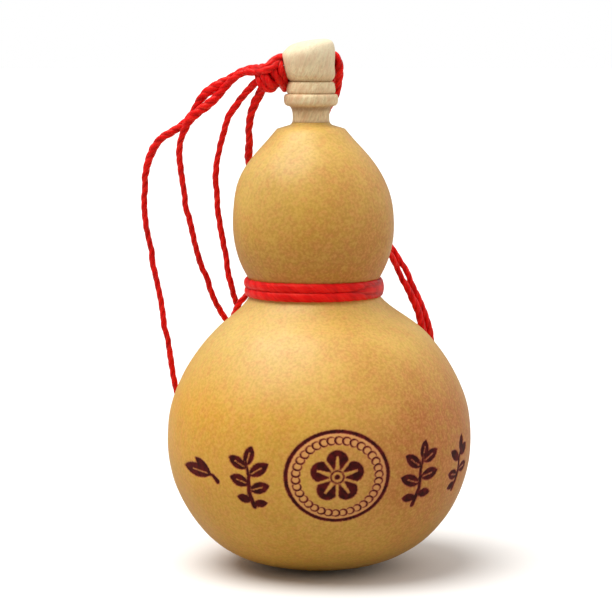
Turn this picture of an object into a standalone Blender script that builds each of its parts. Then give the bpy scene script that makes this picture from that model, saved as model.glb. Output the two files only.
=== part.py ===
"""A dried bottle gourd with a turned wooden mouth and stopper and a red satin cord.

The gourd grew as one piece, so it is one solid, cut off at the neck and bored for its mouthpiece.
It stands on its foot at the origin, +Z up, and its front faces -Y. Sizes here are in millimetres,
and become metres where a mesh or a curve is made.
"""

import math

import bmesh
import bpy
import numpy as np

MM = 0.001
GAP = 0.3  # clearance between neighbouring pieces

# The gourd: radius and height along its skin, from the edge of the flat foot to the cut shoulder.
GOURD_OUTLINE = [
    (5.0, 0.0),
    (10.4, 0.9),
    (17.1, 3.0),
    (22.8, 7.0),
    (26.8, 12.2),
    (29.6, 18.4),
    (30.65, 25.8),
    (29.3, 34.8),
    (25.6, 42.4),
    (20.4, 48.6),
    (14.7, 53.1),
    (12.2, 56.4),
    (13.4, 59.8),
    (15.3, 64.0),
    (16.2, 70.6),
    (15.1, 77.0),
    (11.9, 82.8),
    (8.5, 86.6),
    (6.8, 88.5),
]
SKIN_STEP = 2.6  # distance between rings along the skin
RIM_RADIUS = 4.3
RIM_HEIGHT = 89.8
SOCKET_RADIUS = 3.2
SOCKET_DEPTH = 7.0
GOURD_SIDES = 48

# The bulbs did not grow exactly over each other, and neither is quite round.
WAIST_LEAN = -1.2
WAIST_LEAN_HEIGHTS = (47.0, 58.0)
NECK_LEAN = -0.5
NECK_LEAN_HEIGHTS = (72.0, 82.0)
FLATTENING = 0.010
LOBING = 0.004
LOBES = 3

# The turned mouthpiece, glued into the socket. Heights are from its shoulder, on the rim.
MOUTH_X = WAIST_LEAN + NECK_LEAN
MOUTH_FOOT = RIM_HEIGHT + GAP
SPIGOT_RADIUS = SOCKET_RADIUS - GAP
SPIGOT_LENGTH = SOCKET_DEPTH
BORE_RADIUS = 2.3
NECK_OUTLINE = [(3.95, 0.0), (3.8, 1.1), (4.0, 2.3), (4.5, 3.1)]
FLANGE_MIDDLE = (4.45, 4.3)
FLANGE_ROUND = 0.95
FLANGE_ARC = 60  # degrees above and below its middle
FLANGE_STEPS = 7
STEP_OUTLINE = [(4.85, 5.5), (4.85, 6.3), (4.65, 7.3)]
LIP_RADIUS = 4.3
MOUTH_HEIGHT = 7.75
WOOD_SIDES = 32
WOOD_STEP = 0.8  # distance between rings on curved wood

# The stopper. Heights are from its seat, on the mouthpiece's lip.
SEAT_HEIGHT = MOUTH_FOOT + MOUTH_HEIGHT + GAP
PLUG_RADIUS = BORE_RADIUS - GAP
PLUG_TIP_RADIUS = 1.7
PLUG_LENGTH = 14.0
KNOB_OUTLINE = [
    (4.3, 0.0),
    (4.85, 0.65),
    (5.2, 2.4),
    (5.35, 4.2),
    (5.1, 6.2),
    (4.2, 7.5),
    (2.4, 8.05),
    (0.0, 8.15),
]
KNOB_LEAN = -0.04  # sideways per millimetre of height
TOP_SLOPE = 0.16  # the knob's top was cut a little aslant
TOP_SLOPE_HIGH_SIDE = 1.5
TOP_SLOPE_HEIGHTS = (4.3, 7.8)

# The hole through the knob, drilled by hand a little towards the back and upwards.
HOLE_LEFT = (-7.3, -0.1, 101.3)
HOLE_RIGHT = (2.4, 3.0, 102.2)
HOLE_RADIUS = 1.9
HOLE_SIDES = 20
DRILL_OVERRUN = 3.0

# The cord, and the two flattened turns of it that bind the waist.
CORD_RADIUS = 0.65
BINDING_RADIUS = 13.5
BINDING_HEIGHT = 56.7
TURN_HEIGHT = 1.7
TURN_THICKNESS = 1.3
CREASE_SHARE = 0.55  # thickness left in the crease between the turns
BINDING_SIDES = 56
BINDING_ROUNDING = 30  # degrees between the points round each turn

# Knots: the middle of each, half its size along X, Y and Z, and the axis of each turn round it.
STOPPER_KNOT = {
    "middle": (-10.1, 0.0, 98.9),
    "half_size": (3.2, 2.8, 3.55),
    "turns": [(0.83, 0.0, -0.55), (0.4, 0.5, 0.8), (0.95, 0.3, 0.45)],
}
WAIST_KNOT = {
    "middle": (-1.2, 15.9, 56.6),
    "half_size": (2.8, 1.5, 2.2),
    "turns": [(0.9, 0.0, 0.4), (-0.3, 0.2, 0.95)],
}
TAIL_KNOT = {
    "middle": (-7.5, 31.4, 31.1),
    "half_size": (1.5, 1.4, 1.9),
    "turns": [(0.2, 0.2, 0.95)],
}
CROSSING_STRAND = [
    (-8.4, -0.6, 102.8),
    (-8.9, -1.6, 101.9),
    (-9.9, -2.3, 100.4),
    (-11.2, -2.4, 98.4),
    (-12.0, -1.5, 96.7),
]
TUCKED_END = [(-9.6, 1.0, 98.4), (-8.4, 2.2, 97.6), (-7.4, 3.4, 96.7), (-6.6, 4.7, 95.8)]
KNOT_CORE_SHARE = 0.86
TURN_POINTS = 20
TURN_START = (0, 1, 0.3)  # a direction that no turn has for its axis
KNOT_RINGS = 8

# Routes of the free cords, chosen point by point.
HANGING_LOOP = [
    (-13.5, 1.0, 100.5),
    (-15.7, 1.7, 99.8),
    (-17.6, 2.4, 98.6),
    (-20.9, 3.3, 96.7),
    (-23.3, 4.2, 95.0),
    (-25.2, 5.2, 92.1),
    (-27.1, 6.2, 89.5),
    (-29.7, 7.0, 87.7),
    (-31.9, 7.7, 86.4),
    (-33.8, 8.8, 83.9),
    (-34.9, 9.7, 81.0),
    (-35.8, 11.4, 72.0),
    (-35.0, 12.6, 64.9),
    (-33.4, 13.5, 56.0),
    (-30.9, 15.2, 40.5),
    (-29.7, 16.6, 33.0),
    (-28.1, 19.0, 23.6),
    (-25.9, 22.4, 13.8),
    (-23.0, 26.6, 5.2),
    (-20.4, 30.2, 1.6),
    (-16.6, 33.4, 0.8),
    (-12.4, 34.6, 1.1),
    (-9.9, 32.9, 4.4),
    (-10.2, 31.4, 11.6),
    (-12.8, 30.0, 29.0),
    (-14.8, 26.6, 37.4),
    (-17.2, 20.6, 44.6),
    (-19.8, 15.2, 49.0),
    (-22.5, 12.1, 55.3),
    (-24.4, 10.4, 61.0),
    (-27.7, 6.8, 76.8),
    (-28.2, 5.9, 81.6),
    (-27.8, 4.6, 86.6),
    (-26.3, 3.8, 89.8),
    (-24.1, 3.1, 91.9),
    (-21.7, 2.5, 93.7),
    (-19.3, 1.7, 96.0),
    (-16.8, 0.7, 98.4),
    (-15.3, 0.0, 99.3),
    (-13.7, -0.6, 99.5),
]
LOOSE_TAIL = [
    (-13.1, 0.1, 97.6),
    (-16.3, 1.6, 93.9),
    (-18.1, 2.3, 90.7),
    (-19.5, 3.2, 86.9),
    (-20.5, 4.2, 82.6),
    (-20.9, 5.2, 78.2),
    (-20.8, 6.2, 74.0),
    (-20.3, 6.8, 69.8),
    (-19.7, 7.3, 65.8),
    (-18.9, 7.8, 61.2),
    (-18.0, 8.6, 56.1),
    (-16.9, 11.6, 51.8),
    (-15.1, 17.2, 47.8),
    (-13.0, 22.4, 43.4),
    (-10.8, 27.0, 38.4),
    (-8.2, 30.8, 32.9),
]
NECK_TETHER = [
    (-11.8, 0.8, 95.6),
    (-13.2, 1.7, 92.9),
    (-13.9, 2.7, 90.0),
    (-14.2, 3.9, 87.1),
    (-14.3, 5.4, 84.3),
    (-14.3, 7.3, 81.8),
    (-13.9, 9.3, 79.4),
    (-13.3, 11.3, 77.0),
    (-12.5, 12.9, 74.4),
    (-11.6, 14.2, 71.6),
    (-10.6, 15.1, 68.8),
    (-9.4, 15.5, 65.9),
    (-7.9, 15.6, 63.0),
    (-6.0, 15.6, 60.6),
    (-3.3, 15.9, 58.9),
]
OUTER_TETHER = [
    (-7.2, -0.1, 102.15),
    (-2.4, 1.5, 102.6),
    (1.5, 2.65, 103.1),
    (3.1, 2.6, 102.9),
    (4.15, 2.55, 101.9),
    (4.35, 2.8, 100.3),
    (4.2, 3.2, 98.0),
    (3.6, 4.0, 95.8),
    (2.9, 4.9, 93.8),
    (2.2, 6.0, 91.6),
    (1.7, 7.9, 89.0),
    (1.7, 10.2, 85.8),
    (2.6, 12.6, 82.4),
    (4.1, 14.4, 78.8),
    (6.8, 15.4, 74.2),
    (10.1, 15.0, 69.0),
    (13.1, 13.6, 65.6),
    (15.5, 12.6, 62.9),
    (17.2, 12.6, 60.0),
    (18.6, 12.6, 57.1),
    (19.8, 12.6, 54.5),
    (21.1, 12.7, 51.8),
    (22.1, 13.0, 48.7),
    (23.0, 14.0, 45.2),
    (23.6, 17.6, 41.6),
    (22.2, 22.0, 39.0),
    (18.2, 24.9, 39.2),
    (14.0, 25.8, 42.2),
    (10.3, 24.6, 46.2),
    (7.2, 22.0, 50.4),
    (4.6, 19.0, 54.6),
    (1.9, 16.9, 57.5),
]
INNER_TETHER = [
    (-7.2, -0.1, 100.4),
    (-2.4, 1.5, 100.85),
    (1.2, 2.65, 101.25),
    (2.4, 3.05, 101.25),
    (3.3, 3.85, 100.85),
    (3.6, 5.1, 99.9),
    (3.3, 6.2, 98.6),
    (2.4, 6.9, 96.8),
    (1.3, 7.2, 94.6),
    (0.2, 7.4, 92.1),
    (-0.4, 8.5, 89.2),
    (-0.2, 11.0, 85.6),
    (0.8, 13.5, 81.8),
    (2.8, 15.4, 77.6),
    (5.8, 16.4, 72.6),
    (9.0, 15.5, 67.4),
    (12.0, 12.8, 64.2),
    (14.3, 11.2, 62.4),
    (16.0, 11.2, 59.6),
    (17.4, 11.2, 56.8),
    (18.6, 11.2, 54.4),
    (19.8, 11.2, 51.9),
    (20.8, 11.4, 49.1),
    (21.6, 12.4, 45.6),
    (22.0, 15.7, 41.9),
    (20.6, 20.0, 39.4),
    (17.0, 23.0, 39.2),
    (13.0, 23.8, 41.8),
    (9.5, 22.9, 45.6),
    (6.6, 20.6, 49.4),
    (4.2, 18.1, 52.9),
    (1.6, 16.3, 55.7),
]
WAIST_TAIL = [
    (-4.1, 15.9, 55.4),
    (-6.5, 15.4, 54.7),
    (-8.9, 14.4, 54.5),
    (-10.9, 12.8, 54.7),
    (-12.7, 10.9, 54.8),
    (-14.1, 8.8, 54.7),
    (-15.7, 7.3, 53.3),
    (-17.3, 7.8, 51.4),
    (-18.3, 9.7, 49.9),
    (-18.8, 11.8, 48.5),
    (-19.1, 13.9, 47.0),
    (-19.3, 15.9, 45.4),
    (-19.3, 17.8, 43.7),
    (-18.8, 19.7, 42.1),
    (-18.2, 21.6, 40.4),
]
ROUTES = {
    "hanging_loop": HANGING_LOOP,
    "loose_tail": LOOSE_TAIL,
    "neck_tether": NECK_TETHER,
    "outer_tether": OUTER_TETHER,
    "inner_tether": INNER_TETHER,
    "waist_tail": WAIST_TAIL,
}
POINT_SPACING = 2.6  # along a cord's tube, 2 cord diameters
MOST_POINTS = 78  # along the longest cord
TUBE_ROUNDNESS = 2

SHARP_DEGREES = 40  # edges sharper than this are shaded as edges

# Colours as linear red, green and blue.
RIND_COLOUR = (0.60, 0.33, 0.10)
WOOD_COLOUR = (0.68, 0.47, 0.27)
CORD_COLOUR = (0.62, 0.01, 0.01)


def clear_scene():
    for obj in list(bpy.data.objects):
        bpy.data.objects.remove(obj, do_unlink=True)


def principled(name, colour, roughness):
    material = bpy.data.materials.new(name)
    material.use_nodes = True
    shader = material.node_tree.nodes["Principled BSDF"]
    shader.inputs["Base Color"].default_value = (*colour, 1)
    shader.inputs["Roughness"].default_value = roughness
    return material


def smooth_curve(points, spacing):
    """Points about `spacing` apart on the natural cubic spline through `points`."""
    knots = np.array(points, float)
    spans = np.linalg.norm(np.diff(knots, axis=0), axis=1)
    places = np.concatenate([[0], np.cumsum(spans)])
    last = len(knots) - 1
    system = np.eye(last + 1)
    bends = np.zeros_like(knots)
    for i in range(1, last):
        before = spans[i - 1]
        after = spans[i]
        system[i, i - 1 : i + 2] = before, 2 * (before + after), after
        bends[i] = 6 * ((knots[i + 1] - knots[i]) / after - (knots[i] - knots[i - 1]) / before)
    curvature = np.linalg.solve(system, bends)
    count = min(round(places[-1] / spacing) + 1, MOST_POINTS)
    curve = []
    for place in np.linspace(0, places[-1], count):
        i = min(int(np.searchsorted(places, place, side="right")) - 1, last - 1)
        length = spans[i]
        gone = place - places[i]
        left = length - gone
        point = (curvature[i] * left**3 + curvature[i + 1] * gone**3) / (6 * length)
        point += (knots[i] / length - curvature[i] * length / 6) * left
        point += (knots[i + 1] / length - curvature[i + 1] * length / 6) * gone
        curve.append(tuple(point))
    return curve


def arc(middle, radius, start, end, steps):
    """Points of an arc in the (radius, height) plane, its angles in degrees from straight out."""
    points = []
    for angle in np.radians(np.linspace(start, end, steps)):
        points.append((middle[0] + radius * math.cos(angle), middle[1] + radius * math.sin(angle)))
    return points


def ease(value, low, high):
    """0 below `low`, 1 above `high`, smooth between."""
    share = min(max((value - low) / (high - low), 0), 1)
    return share * share * (3 - 2 * share)


def round_point(radius, angle, height):
    return (radius * math.cos(angle), radius * math.sin(angle), height)


def gourd_point(radius, angle, height):
    """A point of the gourd's skin, with its lean, its flattening and its three faint lobes."""
    lean = WAIST_LEAN * ease(height, *WAIST_LEAN_HEIGHTS)
    lean += NECK_LEAN * ease(height, *NECK_LEAN_HEIGHTS)
    reach = radius * (1 - FLATTENING * math.sin(angle) ** 2)
    reach += radius * LOBING * math.sin(LOBES * angle) * math.cos(angle)
    return (lean + reach * math.cos(angle), reach * math.sin(angle), height)


def knob_point(radius, angle, height):
    """Leans the knob to the left and cuts its top aslant."""
    side = radius * math.cos(angle)
    lean = KNOB_LEAN * max(height, 0)
    slope = TOP_SLOPE * (side - TOP_SLOPE_HIGH_SIDE) * ease(height, *TOP_SLOPE_HEIGHTS)
    return (lean + side, radius * math.sin(angle), height + slope)


def add_object(name, data, material, location=(0, 0, 0)):
    obj = bpy.data.objects.new(name, data)
    obj.location = [MM * part for part in location]
    data.materials.append(material)
    bpy.context.scene.collection.objects.link(obj)
    return obj


def mesh_from(bm, name):
    """Turns millimetres to metres, faces the mesh outwards and shades its round faces smooth."""
    bmesh.ops.scale(bm, vec=(MM, MM, MM), verts=bm.verts)
    bmesh.ops.recalc_face_normals(bm, faces=bm.faces)
    mesh = bpy.data.meshes.new(name)
    bm.to_mesh(mesh)
    bm.free()
    mesh.shade_smooth()
    mesh.set_sharp_from_angle(angle=math.radians(SHARP_DEGREES))
    return mesh


def turned_mesh(name, outline, sides, place=round_point, ring=False):
    """Turns an outline of (radius, height) about the upright axis; `ring` joins its two ends."""
    bm = bmesh.new()
    rows = []
    for radius, height in outline:
        steps = sides if radius else 1
        angles = [math.tau * step / sides for step in range(steps)]
        rows.append([bm.verts.new(place(radius, angle, height)) for angle in angles])
    pairs = list(zip(rows, rows[1:]))
    if ring:
        pairs.append((rows[-1], rows[0]))
    for below, above in pairs:
        for step in range(sides):
            after = (step + 1) % sides
            corners = [below[step % len(below)], below[after % len(below)]]
            corners += [above[after % len(above)], above[step % len(above)]]
            bm.faces.new(list(dict.fromkeys(corners)))
    return mesh_from(bm, name)


def tube_curve(name, points, middle=(0, 0, 0), closed=False):
    """A round cord through points, with closed ends or joined into a ring."""
    curve = bpy.data.curves.new(name, "CURVE")
    curve.dimensions = "3D"
    curve.bevel_depth = CORD_RADIUS * MM
    curve.bevel_resolution = TUBE_ROUNDNESS
    curve.use_fill_caps = not closed
    spline = curve.splines.new("POLY")
    spline.points.add(len(points) - 1)
    spline.use_cyclic_u = closed
    for end, point in zip(spline.points, points):
        end.co = [MM * (part - origin) for part, origin in zip(point, middle)] + [1]
    return curve


def make_gourd(material):
    floor = RIM_HEIGHT - SOCKET_DEPTH
    outline = [(0, 0)] + smooth_curve(GOURD_OUTLINE, SKIN_STEP)
    outline += [(RIM_RADIUS, RIM_HEIGHT), (SOCKET_RADIUS, RIM_HEIGHT)]
    outline += [(SOCKET_RADIUS, floor), (0, floor)]
    mesh = turned_mesh("gourd", outline, GOURD_SIDES, place=gourd_point)
    return add_object("gourd", mesh, material)


def make_mouthpiece(material):
    outline = [(BORE_RADIUS, -SPIGOT_LENGTH), (SPIGOT_RADIUS, -SPIGOT_LENGTH), (SPIGOT_RADIUS, 0)]
    outline += smooth_curve(NECK_OUTLINE, WOOD_STEP)
    outline += arc(FLANGE_MIDDLE, FLANGE_ROUND, -FLANGE_ARC, FLANGE_ARC, FLANGE_STEPS)
    outline += STEP_OUTLINE
    outline += [(LIP_RADIUS, MOUTH_HEIGHT), (BORE_RADIUS, MOUTH_HEIGHT)]
    mesh = turned_mesh("mouthpiece", outline, WOOD_SIDES, ring=True)
    return add_object("mouthpiece", mesh, material, (MOUTH_X, 0, MOUTH_FOOT))


def hole_drill(material):
    """A rod along the knob's hole, longer than the knob is wide. It only cuts."""
    left = np.array(HOLE_LEFT)
    right = np.array(HOLE_RIGHT)
    along = (right - left) / np.linalg.norm(right - left)
    across = np.cross(along, (0, 0, 1))
    across /= np.linalg.norm(across)
    upright = np.cross(across, along)
    bm = bmesh.new()
    rims = []
    for end in (left - DRILL_OVERRUN * along, right + DRILL_OVERRUN * along):
        rim = []
        for step in range(HOLE_SIDES):
            angle = math.tau * step / HOLE_SIDES
            spoke = across * math.cos(angle) + upright * math.sin(angle)
            rim.append(bm.verts.new(end + HOLE_RADIUS * spoke))
        rims.append(rim)
        bm.faces.new(rim)
    for step in range(HOLE_SIDES):
        after = (step + 1) % HOLE_SIDES
        bm.faces.new([rims[0][step], rims[0][after], rims[1][after], rims[1][step]])
    drill = add_object("hole_drill", mesh_from(bm, "hole_drill"), material)
    drill.hide_render = True
    drill.display_type = "WIRE"
    return drill


def make_stopper(material):
    outline = [(0, -PLUG_LENGTH), (PLUG_TIP_RADIUS, -PLUG_LENGTH), (PLUG_RADIUS, 0)]
    knob = smooth_curve(KNOB_OUTLINE, WOOD_STEP)
    outline += knob[:-1] + [KNOB_OUTLINE[-1]]
    mesh = turned_mesh("stopper", outline, WOOD_SIDES, place=knob_point)
    stopper = add_object("stopper", mesh, material, (MOUTH_X, 0, SEAT_HEIGHT))
    cut = stopper.modifiers.new("drill", "BOOLEAN")
    cut.operation = "DIFFERENCE"
    cut.object = hole_drill(material)
    return stopper


def half_thickness(share):
    """Half the binding's thickness at a share of its height from -1 to 1: two touching rounds."""
    rounded = math.sqrt(max(1 - (2 * abs(share) - 1) ** 2, 0))
    if abs(share) < 0.5:
        rounded = max(rounded, CREASE_SHARE)
    return rounded * TURN_THICKNESS / 2


def make_binding(material):
    outside = []
    inside = []
    for side, lowest in ((-1, -90), (1, BINDING_ROUNDING - 90)):
        for angle in range(lowest, 91, BINDING_ROUNDING):
            share = (side + math.sin(math.radians(angle))) / 2
            height = BINDING_HEIGHT + share * TURN_HEIGHT
            reach = half_thickness(share)
            outside.append((BINDING_RADIUS + reach, height))
            inside.append((BINDING_RADIUS - reach, height))
    outline = outside + inside[-2:0:-1]
    mesh = turned_mesh("waist_binding", outline, BINDING_SIDES, place=gourd_point, ring=True)
    return add_object("waist_binding", mesh, material)


def turn_points(half_size, axis):
    """One turn of cord round a knot, square to `axis`, its outer side at `half_size`."""
    normal = np.array(axis) / np.linalg.norm(axis)
    first = np.cross(normal, TURN_START)
    first /= np.linalg.norm(first)
    second = np.cross(normal, first)
    reach = np.array(half_size) - CORD_RADIUS
    points = []
    for angle in np.linspace(0, math.tau, TURN_POINTS, endpoint=False):
        points.append(tuple(reach * (first * math.cos(angle) + second * math.sin(angle))))
    return points


def core_mesh(name, half_size):
    bm = bmesh.new()
    bmesh.ops.create_uvsphere(bm, u_segments=2 * KNOT_RINGS, v_segments=KNOT_RINGS, radius=1)
    reach = KNOT_CORE_SHARE * np.array(half_size)
    bmesh.ops.scale(bm, vec=reach, verts=bm.verts)
    return mesh_from(bm, name)


def fused(obj, pieces):
    """Joins the pieces to the object with one union, and removes them."""
    group = bpy.data.collections.new(obj.name + "_pieces")
    bpy.context.scene.collection.children.link(group)
    graph = bpy.context.evaluated_depsgraph_get()
    for piece in pieces:
        mesh = bpy.data.meshes.new_from_object(piece.evaluated_get(graph))
        solid = bpy.data.objects.new(piece.name + "_solid", mesh)
        solid.location = piece.location
        group.objects.link(solid)
        bpy.data.objects.remove(piece, do_unlink=True)
    union = obj.modifiers.new("union", "BOOLEAN")
    union.operation = "UNION"
    union.operand_type = "COLLECTION"
    union.collection = group
    graph = bpy.context.evaluated_depsgraph_get()
    mesh = bpy.data.meshes.new_from_object(obj.evaluated_get(graph))
    obj.modifiers.clear()
    obj.data = mesh
    for solid in list(group.objects):
        bpy.data.objects.remove(solid, do_unlink=True)
    bpy.data.collections.remove(group)
    mesh.shade_smooth()
    mesh.set_sharp_from_angle(angle=math.radians(SHARP_DEGREES))
    return obj


def make_knot(name, knot, material, strands=()):
    """A core with turns of cord wound round it, and any short strands that cross or leave it."""
    core = add_object(name, core_mesh(name, knot["half_size"]), material, knot["middle"])
    pieces = []
    for number, axis in enumerate(knot["turns"]):
        points = turn_points(knot["half_size"], axis)
        curve = tube_curve(f"{name}_turn_{number}", points, closed=True)
        pieces.append(add_object(curve.name, curve, material, knot["middle"]))
    for number, route in enumerate(strands):
        curve = tube_curve(f"{name}_strand_{number}", route, middle=knot["middle"])
        pieces.append(add_object(curve.name, curve, material, knot["middle"]))
    return fused(core, pieces)


def make_cord(name, route, material):
    curve = tube_curve(name, smooth_curve(route, POINT_SPACING))
    return add_object(name, curve, material)


def main():
    clear_scene()
    rind = principled("gourd_rind", RIND_COLOUR, 0.45)
    wood = principled("turned_wood", WOOD_COLOUR, 0.6)
    cord = principled("satin_cord", CORD_COLOUR, 0.4)
    make_gourd(rind)
    make_mouthpiece(wood)
    make_stopper(wood)
    make_binding(cord)
    make_knot("stopper_knot", STOPPER_KNOT, cord, strands=[CROSSING_STRAND, TUCKED_END])
    make_knot("waist_knot", WAIST_KNOT, cord)
    make_knot("tail_knot", TAIL_KNOT, cord)
    for name, route in ROUTES.items():
        make_cord(name, route, cord)


main()
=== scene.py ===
# %% [markdown]
# # A dried bottle gourd with a turned stopper and a red satin cord
# The real object is a small bottle gourd, dried until its rind is as hard as wood, cut open at the neck and
# fitted with a turned wooden mouth and stopper. A red cord is tied to the stopper and bound round the waist.
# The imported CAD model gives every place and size. This script builds each piece again with the detail that the
# eye expects, in the same frame, and gives it the finish of the real one.

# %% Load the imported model
import math

import bpy
import numpy as np
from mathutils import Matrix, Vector, noise


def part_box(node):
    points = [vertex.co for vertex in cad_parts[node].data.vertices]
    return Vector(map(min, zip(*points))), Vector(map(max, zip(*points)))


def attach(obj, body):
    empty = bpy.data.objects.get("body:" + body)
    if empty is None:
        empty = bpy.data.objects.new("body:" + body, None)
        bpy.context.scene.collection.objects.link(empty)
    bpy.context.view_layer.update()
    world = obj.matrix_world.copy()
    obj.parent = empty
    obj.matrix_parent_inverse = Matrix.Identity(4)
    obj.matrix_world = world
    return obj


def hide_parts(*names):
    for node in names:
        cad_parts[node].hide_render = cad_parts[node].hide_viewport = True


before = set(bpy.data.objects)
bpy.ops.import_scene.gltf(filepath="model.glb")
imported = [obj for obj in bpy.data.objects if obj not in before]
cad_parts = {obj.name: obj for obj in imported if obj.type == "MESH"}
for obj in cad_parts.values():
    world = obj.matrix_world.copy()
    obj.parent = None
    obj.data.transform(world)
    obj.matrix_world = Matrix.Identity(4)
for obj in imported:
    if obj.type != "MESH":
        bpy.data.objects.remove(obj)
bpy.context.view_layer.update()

MM = 0.001
for name in sorted(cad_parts):
    low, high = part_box(name)
    print(f"{name}: {[round((b - a) / MM, 1) for a, b in zip(low, high)]} mm")

# %% [markdown]
# ## The camera
# The photograph was taken from a little above and from some way off, which keeps the gourd's outline calm. A long
# lens does the same here. The camera comes first, because it says how much of each cord is seen.

# %% Camera
LENS_PLACE = (-0.0027, -0.5, 0.1086)  # metres
LOOKS_DOWN = 6.36  # degrees
FOCAL_LENGTH = 147.06  # millimetres
FILM_WIDTH = 36


def new_object(name, data):
    """A new object, linked into the scene."""
    obj = bpy.data.objects.new(name, data)
    bpy.context.scene.collection.objects.link(obj)
    return obj


camera = new_object("camera", bpy.data.cameras.new("camera"))
camera.location = LENS_PLACE
camera.rotation_euler = (math.radians(90 - LOOKS_DOWN), 0, 0)
camera.data.lens = FOCAL_LENGTH
camera.data.sensor_width = FILM_WIDTH
bpy.context.scene.camera = camera
print(f"camera: {FOCAL_LENGTH} mm lens, {-LENS_PLACE[1]} m off")

# %% [markdown]
# ## Colours and nodes
# A maker picks colours, and hex values are what the eye and most colour pickers agree on. Blender mixes
# light in linear values, so one function turns the first into the second. One more function adds a node, sets it
# up and links it, so that each material reads from top to bottom like a recipe. A finish is then built up as a
# painter would: a base colour, and washes over it where a pattern says.

# %% Colour and node helpers
def colour(code):
    """Linear red, green and blue, and full opacity, from an sRGB hex code."""
    parts = [int(code[i : i + 2], 16) / 255 for i in (1, 3, 5)]
    return [part / 12.92 if part <= 0.04045 else ((part + 0.055) / 1.055) ** 2.4 for part in parts] + [1]


def shown(sockets, name=None):
    """The first socket in use, or the first one in use with that name."""
    return next(socket for socket in sockets if socket.enabled and name in (None, socket.name))


def fill(tree, node, inputs):
    """Sets or links inputs, by name or in order. Each is a number, a colour, a socket or a whole node."""
    for name, value in inputs.items() if isinstance(inputs, dict) else enumerate(inputs):
        socket = node.inputs[name] if isinstance(name, int) else shown(node.inputs, name)
        if isinstance(value, bpy.types.Node):
            value = shown(value.outputs)
        if isinstance(value, bpy.types.NodeSocket):
            tree.links.new(value, socket)
        else:
            socket.default_value = value


def add(tree, kind, inputs=(), **settings):
    """Adds a node, such as "TexNoise", or "Math ADD" where the kind has operations."""
    kind, _, operation = kind.partition(" ")
    node = tree.nodes.new("ShaderNode" + kind)
    if operation:
        node.operation = operation
    for name, value in settings.items():
        setattr(node, name, value)
    fill(tree, node, inputs)
    return node


def painted(tree, skin, *washes):
    """Lays washes over a skin. Each is (pattern, low, high, most, tint): no tint where the pattern is at `low`,
    and `most` of it where the pattern is at `high`. A wash of (pattern, tint) is as strong as its pattern."""
    for pattern, *span, tint in washes:
        low, high, most = span or (0.0, 1.0, 1.0)
        share = add(tree, "MapRange", {"Value": pattern, "From Min": low, "From Max": high, "To Max": most})
        skin = add(tree, "Mix", {"Factor": share, "A": skin, "B": colour(tint)}, data_type="RGBA")
    return skin


def finish_material(name):
    """A material with its nodes, and its shader."""
    material = bpy.data.materials.new(name)
    material.use_nodes = True
    return material, material.node_tree, material.node_tree.nodes["Principled BSDF"]


# %% [markdown]
# ## Closed skins from rows of points
# Every piece here is round in section: a cord, a turned mouth, a gourd. Each one could be a modifier stack, but a
# net of points gives full control of where the detail goes, and Blender shades it smoothly. A row is one loop of
# points round the piece, and the rows follow each other along it.

# %% Skin helpers
def ease(value, low, high):
    """0 below `low`, 1 above `high`, smooth between."""
    share = np.clip((value - low) / (high - low), 0, 1)
    return share * share * (3 - 2 * share)


def skin_faces(count, sides, ring):
    """Corners of the faces between `count` rows of `sides` points, with a fan at each end of an open piece."""
    step = np.arange(sides)
    after = (step + 1) % sides
    below = np.arange(count if ring else count - 1)[:, None] * sides
    above = (below + sides) % (count * sides)
    faces = np.stack([below + step, below + after, above + after, above + step], axis=-1).reshape(-1, 4).tolist()
    if not ring:
        last = (count - 1) * sides
        for start, end in zip(step.tolist(), after.tolist()):
            faces += [(count * sides, end, start), (count * sides + 1, last + start, last + end)]
    return faces


def skin_mesh(name, rows, ring=False):
    """A closed, smooth mesh from rows of points in millimetres; `ring` joins the last row to the first."""
    count, sides = rows.shape[:2]
    points = rows.reshape(-1, 3)
    if not ring:
        points = np.vstack([points, rows[0].mean(axis=0), rows[-1].mean(axis=0)])
    mesh = bpy.data.meshes.new(name)
    mesh.from_pydata((points * MM).tolist(), [], skin_faces(count, sides, ring))
    mesh.shade_smooth()
    return mesh


def note_on_points(mesh, name, kind, values):
    """Writes a number or a vector on each point of the mesh, for its material to read."""
    layer = mesh.attributes.new(name, kind, "POINT")
    field = "value" if kind == "FLOAT" else "vector"
    layer.data.foreach_set(field, np.asarray(values, np.float32).ravel())


def put(mesh, material, node):
    """Shows a mesh as a piece that rides on the object and stands for a CAD node."""
    mesh.materials.append(material)
    piece = new_object(mesh.name, mesh)
    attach(piece, "root")
    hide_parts(node)
    print(f"{node}: {len(mesh.polygons)} faces")
    return piece


# %% [markdown]
# ## The cord
# The real cord is satin twist: three soft plies of shiny polyester fibre, 1.3 mm thick together, limp enough to
# fall in easy curves. A bevelled curve would be a plain tube, with no plies for the light to catch. So each cord
# is a skin whose section is three touching rounds, turned a little from row to row. Its rows follow a smooth line
# through the same points as the CAD model's tube.

# %% The line that a cord follows
CORD_RADIUS = 0.65  # millimetres, like all sizes from here on
KINK = 0.17  # how far a kink strays from the line
KINK_LENGTH = 11.0
STRAIGHT_END = 6.0  # without kinks, so that the ends stay in place
WAVES = 4


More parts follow.
